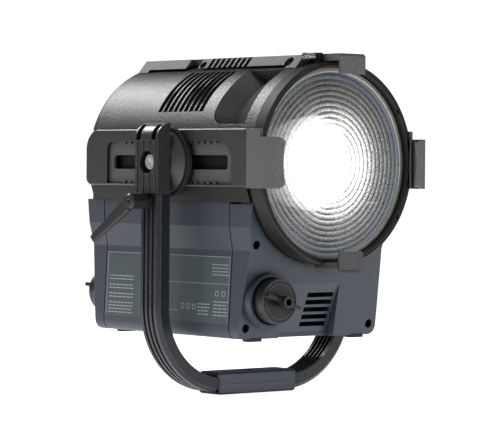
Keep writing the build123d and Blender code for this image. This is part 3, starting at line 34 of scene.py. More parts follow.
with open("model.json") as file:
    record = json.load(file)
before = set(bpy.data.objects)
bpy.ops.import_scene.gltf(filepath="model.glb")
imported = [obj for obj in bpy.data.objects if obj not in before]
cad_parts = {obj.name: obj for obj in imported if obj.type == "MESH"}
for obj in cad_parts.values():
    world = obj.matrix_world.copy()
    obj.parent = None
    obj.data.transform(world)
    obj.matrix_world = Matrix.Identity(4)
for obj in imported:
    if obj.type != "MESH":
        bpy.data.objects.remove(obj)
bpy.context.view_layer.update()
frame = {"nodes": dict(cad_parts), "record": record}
record = frame["record"]
nodes = frame["nodes"]
slot_of = {part["node"]: part["material_slot"] for part in record["subparts"]}

MM = 0.001

LENS_RINGS = 14
LENS_CENTRE_R = 14.0 * MM
LENS_DIP = 2.0 * MM           # how far each step falls back
lens_low, lens_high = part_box("lens")
lens_centre = (lens_low + lens_high) / 2
LENS_R = (lens_high.x - lens_low.x) / 2
RIM_IN = LENS_R - 3.0 * MM
RING_W = (RIM_IN - LENS_CENTRE_R) / LENS_RINGS
STIPPLE_R = RIM_IN - 1.2 * RING_W      # the stipple stops here and the outer rings are smooth


# ---------------------------------------------------------------- materials
EDGE_BEND = 0.86              # how far a normal turns, as a cosine, where an edge is lightened as rubbed paint and painted highlight
# Painted shade: ambient occlusion darkens the colour and dulls the reflections in gaps, slots and corners.
PAINTED_SHADE_RANGE = (0.30, 0.85)  # share of open sky for the painted shade: black below the first, full colour above the second
PAINTED_SHADE_REACH = 0.010
PAINTED_CREVICE_SHADE = 0.12
PAINTED_CREVICE_SPECULAR = 0.05
BROAD_CELLS = 14.0            # cells to a metre in the slow clouds of a coat
SCUFF_CELLS = 160.0
STAIN_CELLS = 45.0


class Tree:
    """A material's node tree, with short ways to add and join nodes."""

    def __init__(self, name):
        self.material = bpy.data.materials.new(name)
        self.material.use_nodes = True
        self.nodes = self.material.node_tree.nodes
        self.links = self.material.node_tree.links
        self.shader = self.nodes["Principled BSDF"]
        self.output = self.nodes["Material Output"]
        self.place = self.add("ShaderNodeTexCoord").outputs["Object"]

    def add(self, kind, **settings):
        node = self.nodes.new(kind)
        for key, value in settings.items():
            setattr(node, key, value)
        return node

    def join(self, source, target):
        self.links.new(source, target)

    def noise(self, scale, detail=3.0, roughness=0.55, stretch=(1, 1, 1)):
        """Noise with this many cells to a metre."""
        node = self.add("ShaderNodeTexNoise")
        node.inputs["Scale"].default_value = scale
        node.inputs["Detail"].default_value = detail
        node.inputs["Roughness"].default_value = roughness
        mapping = self.add("ShaderNodeMapping")
        mapping.inputs["Scale"].default_value = stretch
        self.join(self.place, mapping.inputs["Vector"])
        self.join(mapping.outputs["Vector"], node.inputs["Vector"])
        return node.outputs["Fac"]

    def spread(self, source, low, high, to_low=0.0, to_high=1.0):
        """A value mapped from one range to another, and held at its ends."""
        node = self.add("ShaderNodeMapRange", clamp=True)
        self.join(source, node.inputs["Value"])
        for key, value in zip(("From Min", "From Max", "To Min", "To Max"), (low, high, to_low, to_high)):
            node.inputs[key].default_value = value
        return node.outputs["Result"]

    def math(self, operation, first, second):
        """One sum on two values. Each may be a number or a socket."""
        node = self.add("ShaderNodeMath", operation=operation)
        for socket, value in zip(node.inputs, (first, second)):
            if isinstance(value, (int, float)):
                socket.default_value = value
            else:
                self.join(value, socket)
        return node.outputs["Value"]

    def blend(self, factor, first, second):
        """A colour between two colours. Each may be a tuple or a socket."""
        node = self.add("ShaderNodeMix", data_type="RGBA")
        self.join(factor, node.inputs["Factor"])
        colour_sockets = [s for s in node.inputs if s.type == "RGBA"]
        for socket, value in zip(colour_sockets, (first, second)):
            if isinstance(value, tuple):
                socket.default_value = (*value, 1.0)
            else:
                self.join(value, socket)
        return [s for s in node.outputs if s.type == "RGBA"][0]

    def soft_edges(self, radius):
        """The normal with its edges rounded, and a mask that is 1 at the edges."""
        bevel = self.add("ShaderNodeBevel", samples=4)
        bevel.inputs["Radius"].default_value = radius
        surface = self.add("ShaderNodeNewGeometry")
        along = self.add("ShaderNodeVectorMath", operation="DOT_PRODUCT")
        self.join(bevel.outputs["Normal"], along.inputs[0])
        self.join(surface.outputs["Normal"], along.inputs[1])
        return bevel.outputs["Normal"], self.spread(along.outputs["Value"], 1.0, EDGE_BEND)

    def painted_shade_openness(self, reach):
        """A mask for painted shade: 1 on open faces, falling to 0 deep inside gaps and slots about as wide as
        the reach.
        """
        node = self.add("ShaderNodeAmbientOcclusion", samples=4)
        node.inputs["Distance"].default_value = reach
        return self.spread(node.outputs["AO"], *PAINTED_SHADE_RANGE)

    def bump(self, height, depth, normal=None):
        """Raises the surface by this depth where the height is 1."""
        node = self.add("ShaderNodeBump")
        node.inputs["Distance"].default_value = depth
        self.join(height, node.inputs["Height"])
        if normal is not None:
            self.join(normal, node.inputs["Normal"])
        self.join(node.outputs["Normal"], self.shader.inputs["Normal"])


def scaled(colour, factor):
    return tuple(min(1.0, c * factor) for c in colour)


def coat(
    name, colour, rough, grain=900.0, contrast=0.35, depth=0.00012, metallic=0.0, wear_and_highlight=(0.25, 0.5),
    edge=0.0006, sheen=0.5,
):
    """Paint or moulded plastic: a fine grain in colour, gloss and height, lighter edges that are partly
    rubbed paint and partly painted highlights, painted shade in crevices.
    """
    tree = Tree(name)
    fine = tree.noise(grain, 4.0, 0.6)
    broad = tree.noise(BROAD_CELLS, 3.0)
    grainy = tree.spread(fine, 0.36, 0.64)
    speckled = tree.blend(grainy, scaled(colour, 1 - contrast), scaled(colour, 1 + contrast))
    clouded = tree.blend(tree.spread(broad, 0.3, 0.7, 0.0, 0.35), speckled, scaled(colour, 0.7))
    normal, edges = tree.soft_edges(edge)
    # Lighter edges in patches: rubbed paint and painted edge highlights.
    scuff_and_edge_highlight = tree.math("MULTIPLY", edges, tree.spread(tree.noise(SCUFF_CELLS), 0.35, 0.6, *wear_and_highlight))
    worn_and_highlit = tree.blend(scuff_and_edge_highlight, clouded, tuple(0.5 * c + 0.16 for c in colour))
    # Painted shade: colour and specular fall towards black in crevices.
    painted_shade_mask = tree.painted_shade_openness(PAINTED_SHADE_REACH)
    crevice_shade_colour = scaled(colour, PAINTED_CREVICE_SHADE)
    tree.join(tree.blend(painted_shade_mask, crevice_shade_colour, worn_and_highlit), tree.shader.inputs["Base Color"])
    specular = tree.spread(painted_shade_mask, 0, 1, PAINTED_CREVICE_SPECULAR, sheen)
    tree.join(specular, tree.shader.inputs["Specular IOR Level"])
    tree.join(tree.spread(fine, 0.3, 0.7, rough - 0.07, rough + 0.09), tree.shader.inputs["Roughness"])
    tree.shader.inputs["Metallic"].default_value = metallic
    tree.bump(fine, depth, normal)
    return tree.material


def machined(name, colour, rough, stretch, scale=400.0, depth=0.00005):
    """Bare metal with tool marks. The marks run along the axis with the smallest stretch."""
    tree = Tree(name)
    marks = tree.noise(scale, 4.0, 0.65, stretch)
    tint = tree.blend(tree.spread(marks, 0.3, 0.7), scaled(colour, 0.72), scaled(colour, 1.12))
    patches = tree.spread(tree.noise(STAIN_CELLS), 0.45, 0.75, 0.0, 0.4)
    stain = tree.blend(patches, tint, scaled(colour, 0.6))
    tree.join(stain, tree.shader.inputs["Base Color"])
    tree.join(tree.spread(marks, 0.3, 0.7, rough - 0.08, rough + 0.12), tree.shader.inputs["Roughness"])
    tree.shader.inputs["Metallic"].default_value = 1.0
    normal, _ = tree.soft_edges(0.0004)
    tree.bump(marks, depth, normal)
    return tree.material


# Colours are linear red, green and blue. BLUE_GREY is the box, BARREL_GREY the shell and side plates.
BLUE_GREY = (0.042, 0.056, 0.074)
CLAMP_GREY = (0.052, 0.062, 0.080)
BARREL_GREY = (0.038, 0.038, 0.038)
BROWN_BLACK = (0.012, 0.011, 0.010)
YOKE_BLACK = (0.0105, 0.0130, 0.0190)
KNOB_BLACK = (0.014, 0.0145, 0.016)

looks = {
    # Strongly lightened edges: rubbed paint and painted highlights along the yoke's ridges.
    "yoke_black": coat(
        "yoke_black", YOKE_BLACK, 0.3, grain=700, contrast=0.25, depth=0.00006, wear_and_highlight=(0.7, 1.0), edge=0.0009,
        sheen=0.48,
    ),
    "clamp_paint": coat("clamp_paint", CLAMP_GREY, 0.42, grain=800, contrast=0.25, depth=0.00008),
    "barrel_paint": coat("barrel_paint", BARREL_GREY, 0.31, grain=640, contrast=0.7, depth=0.00036),
    # The barrel grey raised 1.9 times for the top cover: a lit copy that paints the bright top slope.
    "cover_paint_lit": coat("cover_paint_lit", scaled(BARREL_GREY, 1.9), 0.52, grain=950, contrast=0.5, sheen=0.42),
    "skirt_paint": coat("skirt_paint", (0.010, 0.0095, 0.009), 0.5, grain=900, contrast=0.4, sheen=0.25),
    # A lighter, glossier copy of the yoke's paint for the arm heads: a painted highlight on their rounded
    # tops.
    "arm_head_paint_lit": coat(
        "arm_head_paint_lit", (0.028, 0.030, 0.034), 0.3, grain=800, contrast=0.25, edge=0.0010, sheen=0.7,
    ),
    # The clip paint is lighter than the clips' own grey: painted light from the lamp on their front lips.
    "clip_paint": coat("clip_paint", (0.125, 0.127, 0.132), 0.45, grain=900, contrast=0.4),
    # A darker, shaded copy of the clip paint for the bottom clip: painted shade.
    "clip_paint_shaded": coat(
        "clip_paint_shaded", (0.080, 0.082, 0.087), 0.5, grain=900, contrast=0.4, sheen=0.35,
    ),
    "rack_moulding": coat("rack_moulding", (0.100, 0.102, 0.106), 0.45, grain=900, contrast=0.2),
    "dark_moulding": coat("dark_moulding", BROWN_BLACK, 0.5, grain=800, contrast=0.3, sheen=0.32),
    "box_moulding": coat("box_moulding", BLUE_GREY, 0.44, grain=1100, contrast=0.14, depth=0.00008),
    # Strongly lightened edges: rubbed paint and painted highlights on the knob's edges.
    "knob_moulding": coat(
        "knob_moulding", KNOB_BLACK, 0.34, grain=700, contrast=0.25, wear_and_highlight=(0.6, 1.0), edge=0.0009,
    ),
    "disc_metal": coat("disc_metal", (0.080, 0.083, 0.090), 0.4, grain=600, contrast=0.2, metallic=0.3),
    # Near-black sheets behind the side vents: painted shade inside the barrel.
    "vent_shade_sheet": coat("vent_shade_sheet", (0.009, 0.009, 0.010), 0.6, grain=1500, contrast=0.7, sheen=0.2),
    # Lighter than the knob: painted highlights on the raised rings' edges.
    "knob_ring_highlight": coat("knob_ring_highlight", (0.075, 0.078, 0.084), 0.3, grain=700, contrast=0.25),
    "pad_plastic": coat("pad_plastic", (0.018, 0.018, 0.019), 0.5),
    "bronze": machined("bronze", (0.55, 0.40, 0.20), 0.35, (1, 1, 0.2)),
    "screw_steel": machined("screw_steel", (0.80, 0.84, 0.82), 0.34, (0.2, 1, 1)),
    "bright_steel": machined("bright_steel", (0.82, 0.81, 0.78), 0.18, (1, 0.2, 1)),
    "retainer_metal": coat("retainer_metal", (0.50, 0.49, 0.45), 0.32, grain=300, contrast=0.1, metallic=0.5),
    "raw_aluminium": machined("raw_aluminium", (0.62, 0.63, 0.64), 0.36, (1, 0.1, 1)),
    "seal_rubber": coat("seal_rubber", (0.022, 0.022, 0.023), 0.72, grain=500, contrast=0.2),
    "port_plastic": coat("port_plastic", (0.05, 0.06, 0.08), 0.4, grain=900, contrast=0.15),
    "electronics": coat("electronics", (0.006, 0.012, 0.009), 0.7, grain=300, contrast=0.4, sheen=0.05),
}


STIPPLE_CELLS = 760.0         # cells to a metre
SPARKLE_CELLS = 900.0
# Painted light: the glass glows with the lamp light it scatters, as emission of this strength.
PAINTED_GLASS_GLOW = 0.70
LAMP_GLOW = 16.0              # emission in the middle of the diffuser
LAMP_FALL = (0.026, 0.054)    # radii between which the diffuser fades


def glass_look():
    """Stippled, ringed glass, partly clear between the stipples, that glows with painted light: the lamp
    light it scatters is emission, brightest round the hot spot and towards the right and the bottom, with
    painted highlights on the ring edges, glints on the stipple and a pale bluish rim that is partly the
    glass's edge colour and partly a painted highlight.
    """
    tree = Tree("lens_glass")
    shift = tree.add("ShaderNodeVectorMath", operation="SUBTRACT")
    tree.join(tree.place, shift.inputs[0])
    shift.inputs[1].default_value = lens_centre
    flat = tree.add("ShaderNodeVectorMath", operation="MULTIPLY")
    tree.join(shift.outputs["Vector"], flat.inputs[0])
    flat.inputs[1].default_value = (1, 0, 1)
    length = tree.add("ShaderNodeVectorMath", operation="LENGTH")
    tree.join(flat.outputs["Vector"], length.inputs[0])
    radius = length.outputs["Value"]
    split = tree.add("ShaderNodeSeparateXYZ")
    tree.join(flat.outputs["Vector"], split.inputs["Vector"])

    cells = tree.add("ShaderNodeTexVoronoi", feature="F1")
    cells.inputs["Scale"].default_value = STIPPLE_CELLS
    tree.join(tree.place, cells.inputs["Vector"])
    dots = tree.spread(cells.outputs["Distance"], 0.15, 0.75)
    sparkle = tree.spread(tree.noise(SPARKLE_CELLS, 3.0, 0.7), 0.42, 0.62)
    rings_out = tree.math("DIVIDE", tree.math("SUBTRACT", radius, LENS_CENTRE_R), RING_W)
    ring_place = tree.math("FRACT", rings_out, 0)
    # Painted highlight: each ring glows brightest just outside its step.
    painted_ring_highlight = tree.spread(ring_place, 0.05, 0.70, 1.1, 0.06)
    smooth_rim = tree.spread(radius, STIPPLE_R - 0.002, STIPPLE_R + 0.002)

    # Painted light: brightest round the hot spot, brighter towards the right and the bottom.
    painted_hot_spot = tree.spread(radius, 0.034, 0.062, 4.6, 1.0)
    fade = tree.math("MULTIPLY", painted_hot_spot, tree.spread(radius, 0.044, 0.078, 1.0, 0.38))
    painted_light_right = tree.spread(split.outputs["X"], -LENS_R, LENS_R, 1.15, 1.3)
    painted_light_low = tree.spread(split.outputs["Z"], -LENS_R, LENS_R, 1.3, 0.6)
    level = tree.math("MULTIPLY", tree.math("MULTIPLY", fade, painted_light_right), painted_light_low)
    speckled = tree.math("MULTIPLY", tree.spread(sparkle, 0, 1, 0.15, 1.35), painted_ring_highlight)
    plain = tree.spread(ring_place, 0.0, 0.6, 0.6, 0.05)
    mix = tree.add("ShaderNodeMix", data_type="FLOAT")
    tree.join(smooth_rim, mix.inputs["Factor"])
    tree.join(speckled, mix.inputs["A"])
    tree.join(plain, mix.inputs["B"])
    glow = tree.math("MULTIPLY", mix.outputs["Result"], level)
    tint = tree.blend(smooth_rim, (1.0, 0.985, 0.955), (0.84, 0.91, 1.0))
    tree.join(tint, tree.shader.inputs["Emission Color"])
    tree.join(tree.math("MULTIPLY", glow, PAINTED_GLASS_GLOW), tree.shader.inputs["Emission Strength"])

    stippled = tree.blend(dots, (0.15, 0.155, 0.16), (0.02, 0.021, 0.023))
    # The smooth outer rim is pale blue: partly the glass's edge colour, partly a painted highlight.
    tree.join(tree.blend(smooth_rim, stippled, (0.16, 0.19, 0.22)), tree.shader.inputs["Base Color"])
    tree.shader.inputs["Roughness"].default_value = 0.14
    tree.shader.inputs["IOR"].default_value = 1.5
    tree.shader.inputs["Coat Weight"].default_value = 0.15
    tree.shader.inputs["Coat Roughness"].default_value = 0.05
    tree.bump(dots, 0.0002)
    clear = tree.add("ShaderNodeBsdfTransparent")
    clear.inputs["Color"].default_value = (0.94, 0.96, 0.96, 1.0)
    mixer = tree.add("ShaderNodeMixShader")
    cover = tree.spread(tree.math("ADD", dots, sparkle), 0.2, 1.6, 0.35, 0.80)
    tree.join(cover, mixer.inputs["Fac"])
    tree.join(clear.outputs["BSDF"], mixer.inputs[1])
    tree.join(tree.shader.outputs["BSDF"], mixer.inputs[2])
    tree.join(mixer.outputs["Shader"], tree.output.inputs["Surface"])
    return tree.material


def diffuser_look():
    """The lit mouth of the mixing tunnel: white hot in the middle, fading at its rim."""
    tree = Tree("mixer_white")
    low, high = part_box("light_mixer")
    shift = tree.add("ShaderNodeVectorMath", operation="SUBTRACT")
    tree.join(tree.place, shift.inputs[0])
    shift.inputs[1].default_value = ((low.x + high.x) / 2, low.y, (low.z + high.z) / 2)
    length = tree.add("ShaderNodeVectorMath", operation="LENGTH")
    tree.join(shift.outputs["Vector"], length.inputs[0])
    grain = tree.noise(500.0)
    fall = tree.spread(length.outputs["Value"], *LAMP_FALL, 1.0, 0.1)
    glow = tree.math("MULTIPLY", tree.math("POWER", fall, 2.0), LAMP_GLOW)
    tree.join(tree.blend(grain, (0.80, 0.80, 0.78), (0.95, 0.95, 0.93)), tree.shader.inputs["Base Color"])
    tree.shader.inputs["Roughness"].default_value = 0.5
    tree.shader.inputs["Emission Color"].default_value = (1.0, 0.98, 0.95, 1.0)
    tree.join(glow, tree.shader.inputs["Emission Strength"])
    tree.bump(grain, 0.0001)
    return tree.material


def label_look():
    """A satin printed film, a little greener than the box."""
    tree = Tree("label_film")
    grain = tree.noise(1100.0)
    cloud = tree.noise(20.0)
    tint = tree.blend(grain, (0.058, 0.080, 0.088), (0.078, 0.100, 0.108))
    shade = tree.blend(tree.spread(cloud, 0.35, 0.65, 0.0, 0.3), tint, (0.052, 0.072, 0.082))
    tree.join(shade, tree.shader.inputs["Base Color"])
    tree.shader.inputs["Roughness"].default_value = 0.42
    tree.shader.inputs["Coat Weight"].default_value = 0.15
    tree.bump(grain, 0.00003)
    return tree.material


def print_look():
    """Pale matt ink."""
    tree = Tree("label_print")
    grain = tree.noise(1500.0)
    tree.join(tree.blend(grain, (0.30, 0.34, 0.35), (0.42, 0.46, 0.47)), tree.shader.inputs["Base Color"])
    tree.shader.inputs["Roughness"].default_value = 0.5
    return tree.material


def display_look():
    """A dark, glossy window with faint smears."""
    tree = Tree("display_gloss")
    smear = tree.noise(60.0, 4.0, 0.6, (1, 1, 3))
    tint = tree.blend(smear, (0.010, 0.013, 0.018), (0.022, 0.028, 0.036))
    tree.join(tint, tree.shader.inputs["Base Color"])
    tree.join(tree.spread(smear, 0.3, 0.7, 0.05, 0.16), tree.shader.inputs["Roughness"])
    tree.shader.inputs["Coat Weight"].default_value = 0.8
    return tree.material


def phosphor_look():
    """The yellow face of the LED array."""
    tree = Tree("led_phosphor")
    grain = tree.noise(600.0)
    tree.join(tree.blend(grain, (0.78, 0.60, 0.14), (0.92, 0.80, 0.30)), tree.shader.inputs["Base Color"])
    tree.shader.inputs["Roughness"].default_value = 0.35
    tree.bump(grain, 0.00005)
    return tree.material


looks["lens_glass"] = glass_look()
looks["mixer_white"] = diffuser_look()
looks["label_film"] = label_look()
looks["display_gloss"] = display_look()
looks["led_phosphor"] = phosphor_look()
printed = print_look()

for name in ("clip_left", "clip_right", "top_latch"):
    slot_of[name] = "clip_paint"
slot_of["clip_bottom"] = "clip_paint_shaded"
slot_of["top_cover"] = "cover_paint_lit"
slot_of["lower_shell"] = "skirt_paint"
slot_of["lever_screw"] = "disc_metal"
slot_of["case_screws"] = "yoke_black"
for name in ("arm_head_left", "arm_head_right"):
    slot_of[name] = "arm_head_paint_lit"
for name in ("rack_left", "rack_right"):
    slot_of[name] = "rack_moulding"
for name, node in nodes.items():
    node.data.materials.clear()
    node.data.materials.append(looks[slot_of[name]])


# ---------------------------------------------------------------- mesh helpers
def piece(name, mesh, look, body, replaced=()):
    """Puts a finished mesh into the scene as a named piece that rides on a body."""
    obj = bpy.data.objects.new(name, mesh)
    bpy.context.scene.collection.objects.link(obj)
    mesh.materials.append(look)
    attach(obj, body)
    if replaced:
        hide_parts(*replaced)
    return obj


def finished(name, bm, sharp=35.0):
    """A mesh from a bmesh, with outward normals, smooth except across sharp edges."""
    bmesh.ops.recalc_face_normals(bm, faces=bm.faces)
    mesh = bpy.data.meshes.new(name)
    bm.to_mesh(mesh)
    bm.free()
    mesh.polygons.foreach_set("use_smooth", [True] * len(mesh.polygons))
    mesh.set_sharp_from_angle(angle=radians(sharp))
    return mesh


def turned(profile, centre, sides=192):
    """A closed solid turned about Y from (radius, y) points. Points on the axis have radius 0."""
    bm = bmesh.new()
    rings = []
    for radius, y in profile:
        if radius == 0:
            rings.append([bm.verts.new((centre.x, y, centre.z))])
            continue
        ring = []
        for i in range(sides):
            around = 2 * pi * i / sides
            ring.append(bm.verts.new((centre.x + radius * cos(around), y, centre.z + radius * sin(around))))
        rings.append(ring)
    for ring, following in zip(rings, rings[1:] + rings[:1]):
        if len(ring) == 1 and len(following) == 1:
            continue
        for i in range(sides):
            k = (i + 1) % sides
            if len(ring) == 1:
                bm.faces.new((ring[0], following[i], following[k]))
            elif len(following) == 1:
                bm.faces.new((ring[i], ring[k], following[0]))
            else:
                bm.faces.new((ring[i], ring[k], following[k], following[i]))
    return bm


def wire(points, radius, sides=10):
    """A round wire along a line of points, with flat ends."""
    bm = bmesh.new()
    rings = []
    for i, point in enumerate(points):
        ahead = (points[min(i + 1, len(points) - 1)] - points[max(i - 1, 0)]).normalized()
        turn = ahead.to_track_quat("Z", "Y")
        ring = []
        for k in range(sides):
            around = 2 * pi * k / sides
            ring.append(bm.verts.new(point + turn @ Vector((radius * cos(around), radius * sin(around), 0))))
        rings.append(ring)
    for ring, following in zip(rings, rings[1:]):
        for i in range(sides):
            k = (i + 1) % sides
            bm.faces.new((ring[i], ring[k], following[k], following[i]))
    bm.faces.new(rings[0])
    bm.faces.new(rings[-1])
    return bm


# ---------------------------------------------------------------- lens
CENTRE_POINTS = 5
CENTRE_BULGE = 1.6 * MM
RING_POINTS = 6
RISE_SHARE = 0.06             # share of a ring's width taken by its steep side
lens_top = lens_low.y + 0.6 * MM
lens_line = [(0, lens_high.y), (0, lens_top)]
for k in range(1, CENTRE_POINTS):
    share = k / CENTRE_POINTS
    lens_line.append((LENS_CENTRE_R * share, lens_top + CENTRE_BULGE * share ** 2))
for i in range(LENS_RINGS):
    inner = LENS_CENTRE_R + i * RING_W
    lens_line.append((inner, lens_top + LENS_DIP))
    for k in range(RING_POINTS):
        share = k / RING_POINTS
        along = inner + (RISE_SHARE + (1 - RISE_SHARE) * share) * RING_W
        lens_line.append((along, lens_top + LENS_DIP * share ** 1.7))
lens_line += [
    (RIM_IN, lens_top + LENS_DIP),
    (RIM_IN + 0.2 * MM, lens_low.y + 0.4 * MM),
    (RIM_IN + 0.7 * MM, lens_low.y),
    (LENS_R - 0.4 * MM, lens_low.y),
    (LENS_R, lens_low.y + 0.4 * MM),
    (LENS_R, lens_high.y),
]
lens_mesh = finished("lens_glass", turned(lens_line, lens_centre, 256), 30.0)
piece("lens_glass", lens_mesh, looks["lens_glass"], "head", ["lens"])

# ---------------------------------------------------------------- near-black sheets behind the side vents, that close the view through them and paint the shade inside the barrel
SCREEN_R = 95.5 * MM          # outside of the screens, between the shell and the LED carriage
SCREEN_THICK = 1.0 * MM
SCREEN_FRONT = 84.0 * MM      # behind the front edge of the shell
SCREEN_REAR = 162.0 * MM
SCREEN_ANGLES = (26.0, 69.0)  # above the horizontal
SCREEN_STEPS = 24
shell_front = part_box("top_shell")[0].y
SCREEN_IN_R = SCREEN_R - SCREEN_THICK
screen_corners = (
    (SCREEN_R, shell_front + SCREEN_FRONT), (SCREEN_R, shell_front + SCREEN_REAR),
    (SCREEN_IN_R, shell_front + SCREEN_REAR), (SCREEN_IN_R, shell_front + SCREEN_FRONT),
)
for name, hand in (("vent_shade_sheet_left", -1), ("vent_shade_sheet_right", 1)):
    bm = bmesh.new()
    rows = []
    for i in range(SCREEN_STEPS + 1):
        angle = radians(SCREEN_ANGLES[0] + (SCREEN_ANGLES[1] - SCREEN_ANGLES[0]) * i / SCREEN_STEPS)
        rows.append([
            bm.verts.new((lens_centre.x + hand * r * cos(angle), y, lens_centre.z + r * sin(angle)))
            for r, y in screen_corners
        ])
    for row, following in zip(rows, rows[1:]):
        for k in range(4):
            m = (k + 1) % 4
            bm.faces.new((row[k], row[m], following[m], following[k]))
    bm.faces.new(rows[0])
    bm.faces.new(rows[-1])
    piece(name, finished(name, bm), looks["vent_shade_sheet"], "head")

# ---------------------------------------------------------------- raised rings on the zoom knobs, lighter than the knob as painted highlights on the ring edges
RING_PROUD = 0.4 * MM
# Each knob, how deep it is from its back to its face, and which way along Y the face looks.
KNOBS = (("zoom_knob_front", 17.7 * MM, -1), ("zoom_knob_rear", 12.0 * MM, 1))
# Each ring, its outside as a share of the knob's radius, and its width.
KNOB_RINGS = (("inner", 0.80, 0.8 * MM), ("outer", 0.97, 0.6 * MM))
for knob, depth, way in KNOBS:
    knob_low, knob_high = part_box(knob)
    knob_centre = (knob_low + knob_high) / 2
    knob_r = (knob_high.x - knob_low.x) / 2
    face = (knob_high.y if way < 0 else knob_low.y) + way * depth
    for name, share, width in KNOB_RINGS:
        outer = knob_r * share
        ring_line = [
            (outer, face - way * RING_PROUD), (outer, face + way * RING_PROUD),
            (outer - width, face + way * RING_PROUD), (outer - width, face - way * RING_PROUD),
        ]
        ring_name = f"{knob}_ring_{name}"
        ring_mesh = finished(ring_name, turned(ring_line, knob_centre, 96))
        piece(ring_name, ring_mesh, looks["knob_ring_highlight"], "zoom")

# ---------------------------------------------------------------- latch spring
spring_low, spring_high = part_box("latch_spring")
spring_centre = (spring_low + spring_high) / 2
SPRING_TURNS = 7
SPRING_WIRE = 0.45 * MM
coil_r = (spring_high.z - spring_low.z) / 2 - SPRING_WIRE
coil_start = spring_low.x + SPRING_WIRE
coil_length = spring_high.x - spring_low.x - 2 * SPRING_WIRE
coil = []
STEPS_PER_TURN = 24
for i in range(SPRING_TURNS * STEPS_PER_TURN + 1):
    around = 2 * pi * i / STEPS_PER_TURN
    along = coil_start + coil_length * i / (SPRING_TURNS * STEPS_PER_TURN)
    side = Vector((0, coil_r * cos(around), coil_r * sin(around)))
    coil.append(Vector((along, spring_centre.y, spring_centre.z)) + side)
piece(
    "latch_coil", finished("latch_coil", wire(coil, SPRING_WIRE)), looks["bright_steel"], "head",
    ["latch_spring"],
)

# ---------------------------------------------------------------- printed rules and bars on the labels
LABEL_LEAN = 4.0 / 73.0       # how much wider the box gets for each step down
MARK_LIFT = 0.03 * MM
BAR_HEIGHT = 1.0 * MM
BAR_GAP = 1.1 * MM
BAR_LEAST = 1.5 * MM
MARK_THICK = 0.05 * MM
label_low, label_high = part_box("labels")


def mark(bm, way, rear, length, drop, height):
    """A thin printed bar: how far it starts from the label's rear end, and below its top edge."""
    corners = []
    for out in (MARK_LIFT, MARK_LIFT + MARK_THICK):
        for y in (label_high.y - rear, label_high.y - rear - length):
            for down in (drop, drop + height):
                z = label_high.z - down
                x = label_high.x + out - (z - label_low.z) * LABEL_LEAN
                corners.append(bm.verts.new((way * x, y, z)))
    for face in ((0, 1, 3, 2), (4, 5, 7, 6), (0, 1, 5, 4), (2, 3, 7, 6), (0, 2, 6, 4), (1, 3, 7, 5)):
        bm.faces.new([corners[i] for i in face])


def bar_row(bm, way, start, end, drop, seed):
    """A row of short bars of uneven length, such as small print looks from far away."""
    at = start
    step = seed
    while at < end - BAR_LEAST:
        length = min((2.2 + 4.0 * abs(sin(12.7 * step))) * MM, end - at)
        mark(bm, way, at, length, drop, BAR_HEIGHT)
        at += length + BAR_GAP
        step += 1


# All in millimetres. Paragraphs: start and end along the label, drop of the first row, number of rows.
PARAGRAPHS = [
    (6, 46, 24, 2), (6, 46, 33, 2), (6, 46, 42, 2), (6, 46, 51, 4),
    (170, 196, 8, 4), (150, 168, 47, 4), (174, 196, 44, 5),
]
ROW_PITCH = 3.3 * MM
# Rules: start, length, drop, height.
RULES = [(0, 197, 0.5, 0.5), (60, 137, 27, 0.4), (60, 60, 55, 0.4), (2, 0.5, 2, 62), (196, 0.5, 2, 62)]
# Hollow squares: start, drop. SYMBOL is their side and LINE their line's width.
SYMBOLS = [(124, 48), (133, 48), (142, 48), (176, 34), (186, 34)]
SYMBOL = 5.0
LINE = 0.6

for way, side_name in ((-1, "left"), (1, "right")):
    marks_bm = bmesh.new()
    for index, (start, end, drop, rows) in enumerate(PARAGRAPHS):
        for row in range(rows):
            bar_row(marks_bm, way, start * MM, end * MM, drop * MM + row * ROW_PITCH, 5 * index + row)
    for start, length, drop, height in RULES:
        mark(marks_bm, way, start * MM, length * MM, drop * MM, height * MM)
    for start, drop in SYMBOLS:
        for ahead, down, length, height in (
            (0, 0, SYMBOL, LINE), (0, SYMBOL - LINE, SYMBOL, LINE),
            (0, LINE, LINE, SYMBOL - 2 * LINE), (SYMBOL - LINE, LINE, LINE, SYMBOL - 2 * LINE),
        ):
            mark(marks_bm, way, (start + ahead) * MM, length * MM, (drop + down) * MM, height * MM)
    print_name = f"label_print_{side_name}"
    piece(print_name, finished(print_name, marks_bm), printed, "head")

# ---------------------------------------------------------------- stage, light and camera
FLOOR_Z = -0.0015
FLOOR_R = 1.6
DOME_R = 14.0
PAPER_GLOW = 1.0


def stage_piece(name, bm, glow):
    """Part of the studio: plain pale paper that gives off a little light of its own."""
    obj = bpy.data.objects.new(name, finished(name, bm, 60.0))
    bpy.context.scene.collection.objects.link(obj)
    paper = Tree(name)
    grain = paper.noise(30.0)
    paper.join(paper.blend(grain, (0.90, 0.90, 0.90), (0.93, 0.93, 0.93)), paper.shader.inputs["Base Color"])
    paper.shader.inputs["Roughness"].default_value = 0.9
    paper.shader.inputs["Emission Color"].default_value = (1.0, 1.0, 1.0, 1.0)
    paper.shader.inputs["Emission Strength"].default_value = glow
    obj.data.materials.append(paper.material)
    return obj


floor_bm = bmesh.new()
bmesh.ops.create_circle(
    floor_bm, cap_ends=True, segments=64, radius=FLOOR_R, matrix=Matrix.Translation((0, 0, FLOOR_Z))
)
stage_piece("floor", floor_bm, PAPER_GLOW)

# The dome only fills the view behind the object: it neither lights it nor shows in it.
dome_bm = bmesh.new()
bmesh.ops.create_uvsphere(dome_bm, u_segments=48, v_segments=24, radius=DOME_R)
dome = stage_piece("dome", dome_bm, PAPER_GLOW)
dome.visible_diffuse = False
dome.visible_glossy = False
dome.visible_transmission = False
dome.visible_shadow = False

AIM = Vector((0.0, 0.0, 0.20))


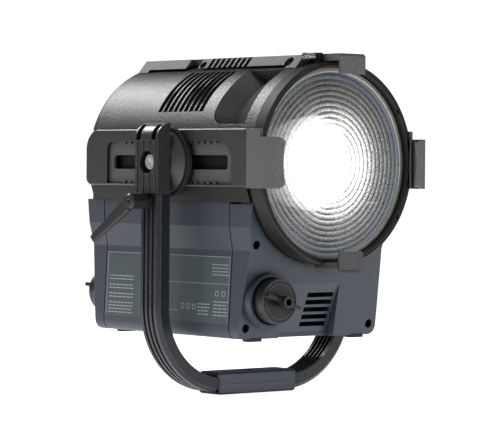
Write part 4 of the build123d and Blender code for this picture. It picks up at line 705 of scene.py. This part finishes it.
def softbox(name, azimuth, elevation, distance, size, watts):
    """A flat area light aimed at the object. Azimuth 0 is in front of the lens, 90 on its +X side."""
    a = radians(azimuth)
    e = radians(elevation)
    light = bpy.data.lights.new(name, "AREA")
    light.shape = "RECTANGLE"
    light.size, light.size_y = size
    light.energy = watts
    lamp = bpy.data.objects.new(name, light)
    way = Vector((sin(a) * cos(e), -cos(a) * cos(e), sin(e)))
    lamp.location = AIM + way * distance
    lamp.rotation_mode = "QUATERNION"
    lamp.rotation_quaternion = way.to_track_quat("Z", "Y")
    lamp.visible_camera = False
    bpy.context.scene.collection.objects.link(lamp)


softbox("top_back", -170, 40, 2.6, (1.3, 0.45), 33)
softbox("key_left", -60, 48, 3.0, (0.8, 0.8), 6)
softbox("front_low", -15, 4, 3.0, (1.2, 0.5), 14)
softbox("front_left", -120, 10, 3.0, (0.6, 1.4), 5)
softbox("front_right", 30, 22, 3.2, (1.2, 1.2), 8)
softbox("overhead", 0, 88, 3.0, (1.6, 1.6), 10)

world = bpy.data.worlds.new("studio")
bpy.context.scene.world = world
world.use_nodes = True
world.node_tree.nodes["Background"].inputs["Color"].default_value = (1.0, 1.0, 1.0, 1.0)
world.node_tree.nodes["Background"].inputs["Strength"].default_value = 0.12

scene = bpy.context.scene
scene.view_settings.view_transform = "Standard"
scene.view_settings.look = "None"

CAMERA_AZ = radians(-40.22)
CAMERA_EL = radians(0.92)
CAMERA_ROLL = radians(0.48)
CAMERA_BACK = 2.573           # from the lens to the camera along its view
CAMERA_SHIFT = (-0.0802, -0.0483)
CAMERA_FOCAL = 190.3          # millimetres, on a 36 mm wide sensor

ring_low, ring_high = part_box("lens_retainer")
ring_centre = Vector(((ring_low.x + ring_high.x) / 2, ring_high.y - 1.0 * MM, (ring_low.z + ring_high.z) / 2))
back = Vector((
    sin(CAMERA_AZ) * cos(CAMERA_EL), -cos(CAMERA_AZ) * cos(CAMERA_EL), sin(CAMERA_EL),
))
level_right = Vector((cos(CAMERA_AZ), sin(CAMERA_AZ), 0))
level_up = back.cross(level_right)
right = level_right * cos(CAMERA_ROLL) + level_up * sin(CAMERA_ROLL)
up = level_up * cos(CAMERA_ROLL) - level_right * sin(CAMERA_ROLL)
camera_data = bpy.data.cameras.new("camera")
camera_data.sensor_width = 36.0
camera_data.lens = CAMERA_FOCAL
camera = bpy.data.objects.new("camera", camera_data)
scene.collection.objects.link(camera)
rotation = Matrix((right, up, back)).transposed().to_4x4()
place = ring_centre + back * CAMERA_BACK + right * CAMERA_SHIFT[0] + up * CAMERA_SHIFT[1]
camera.matrix_world = Matrix.Translation(place) @ rotation
scene.camera = camera
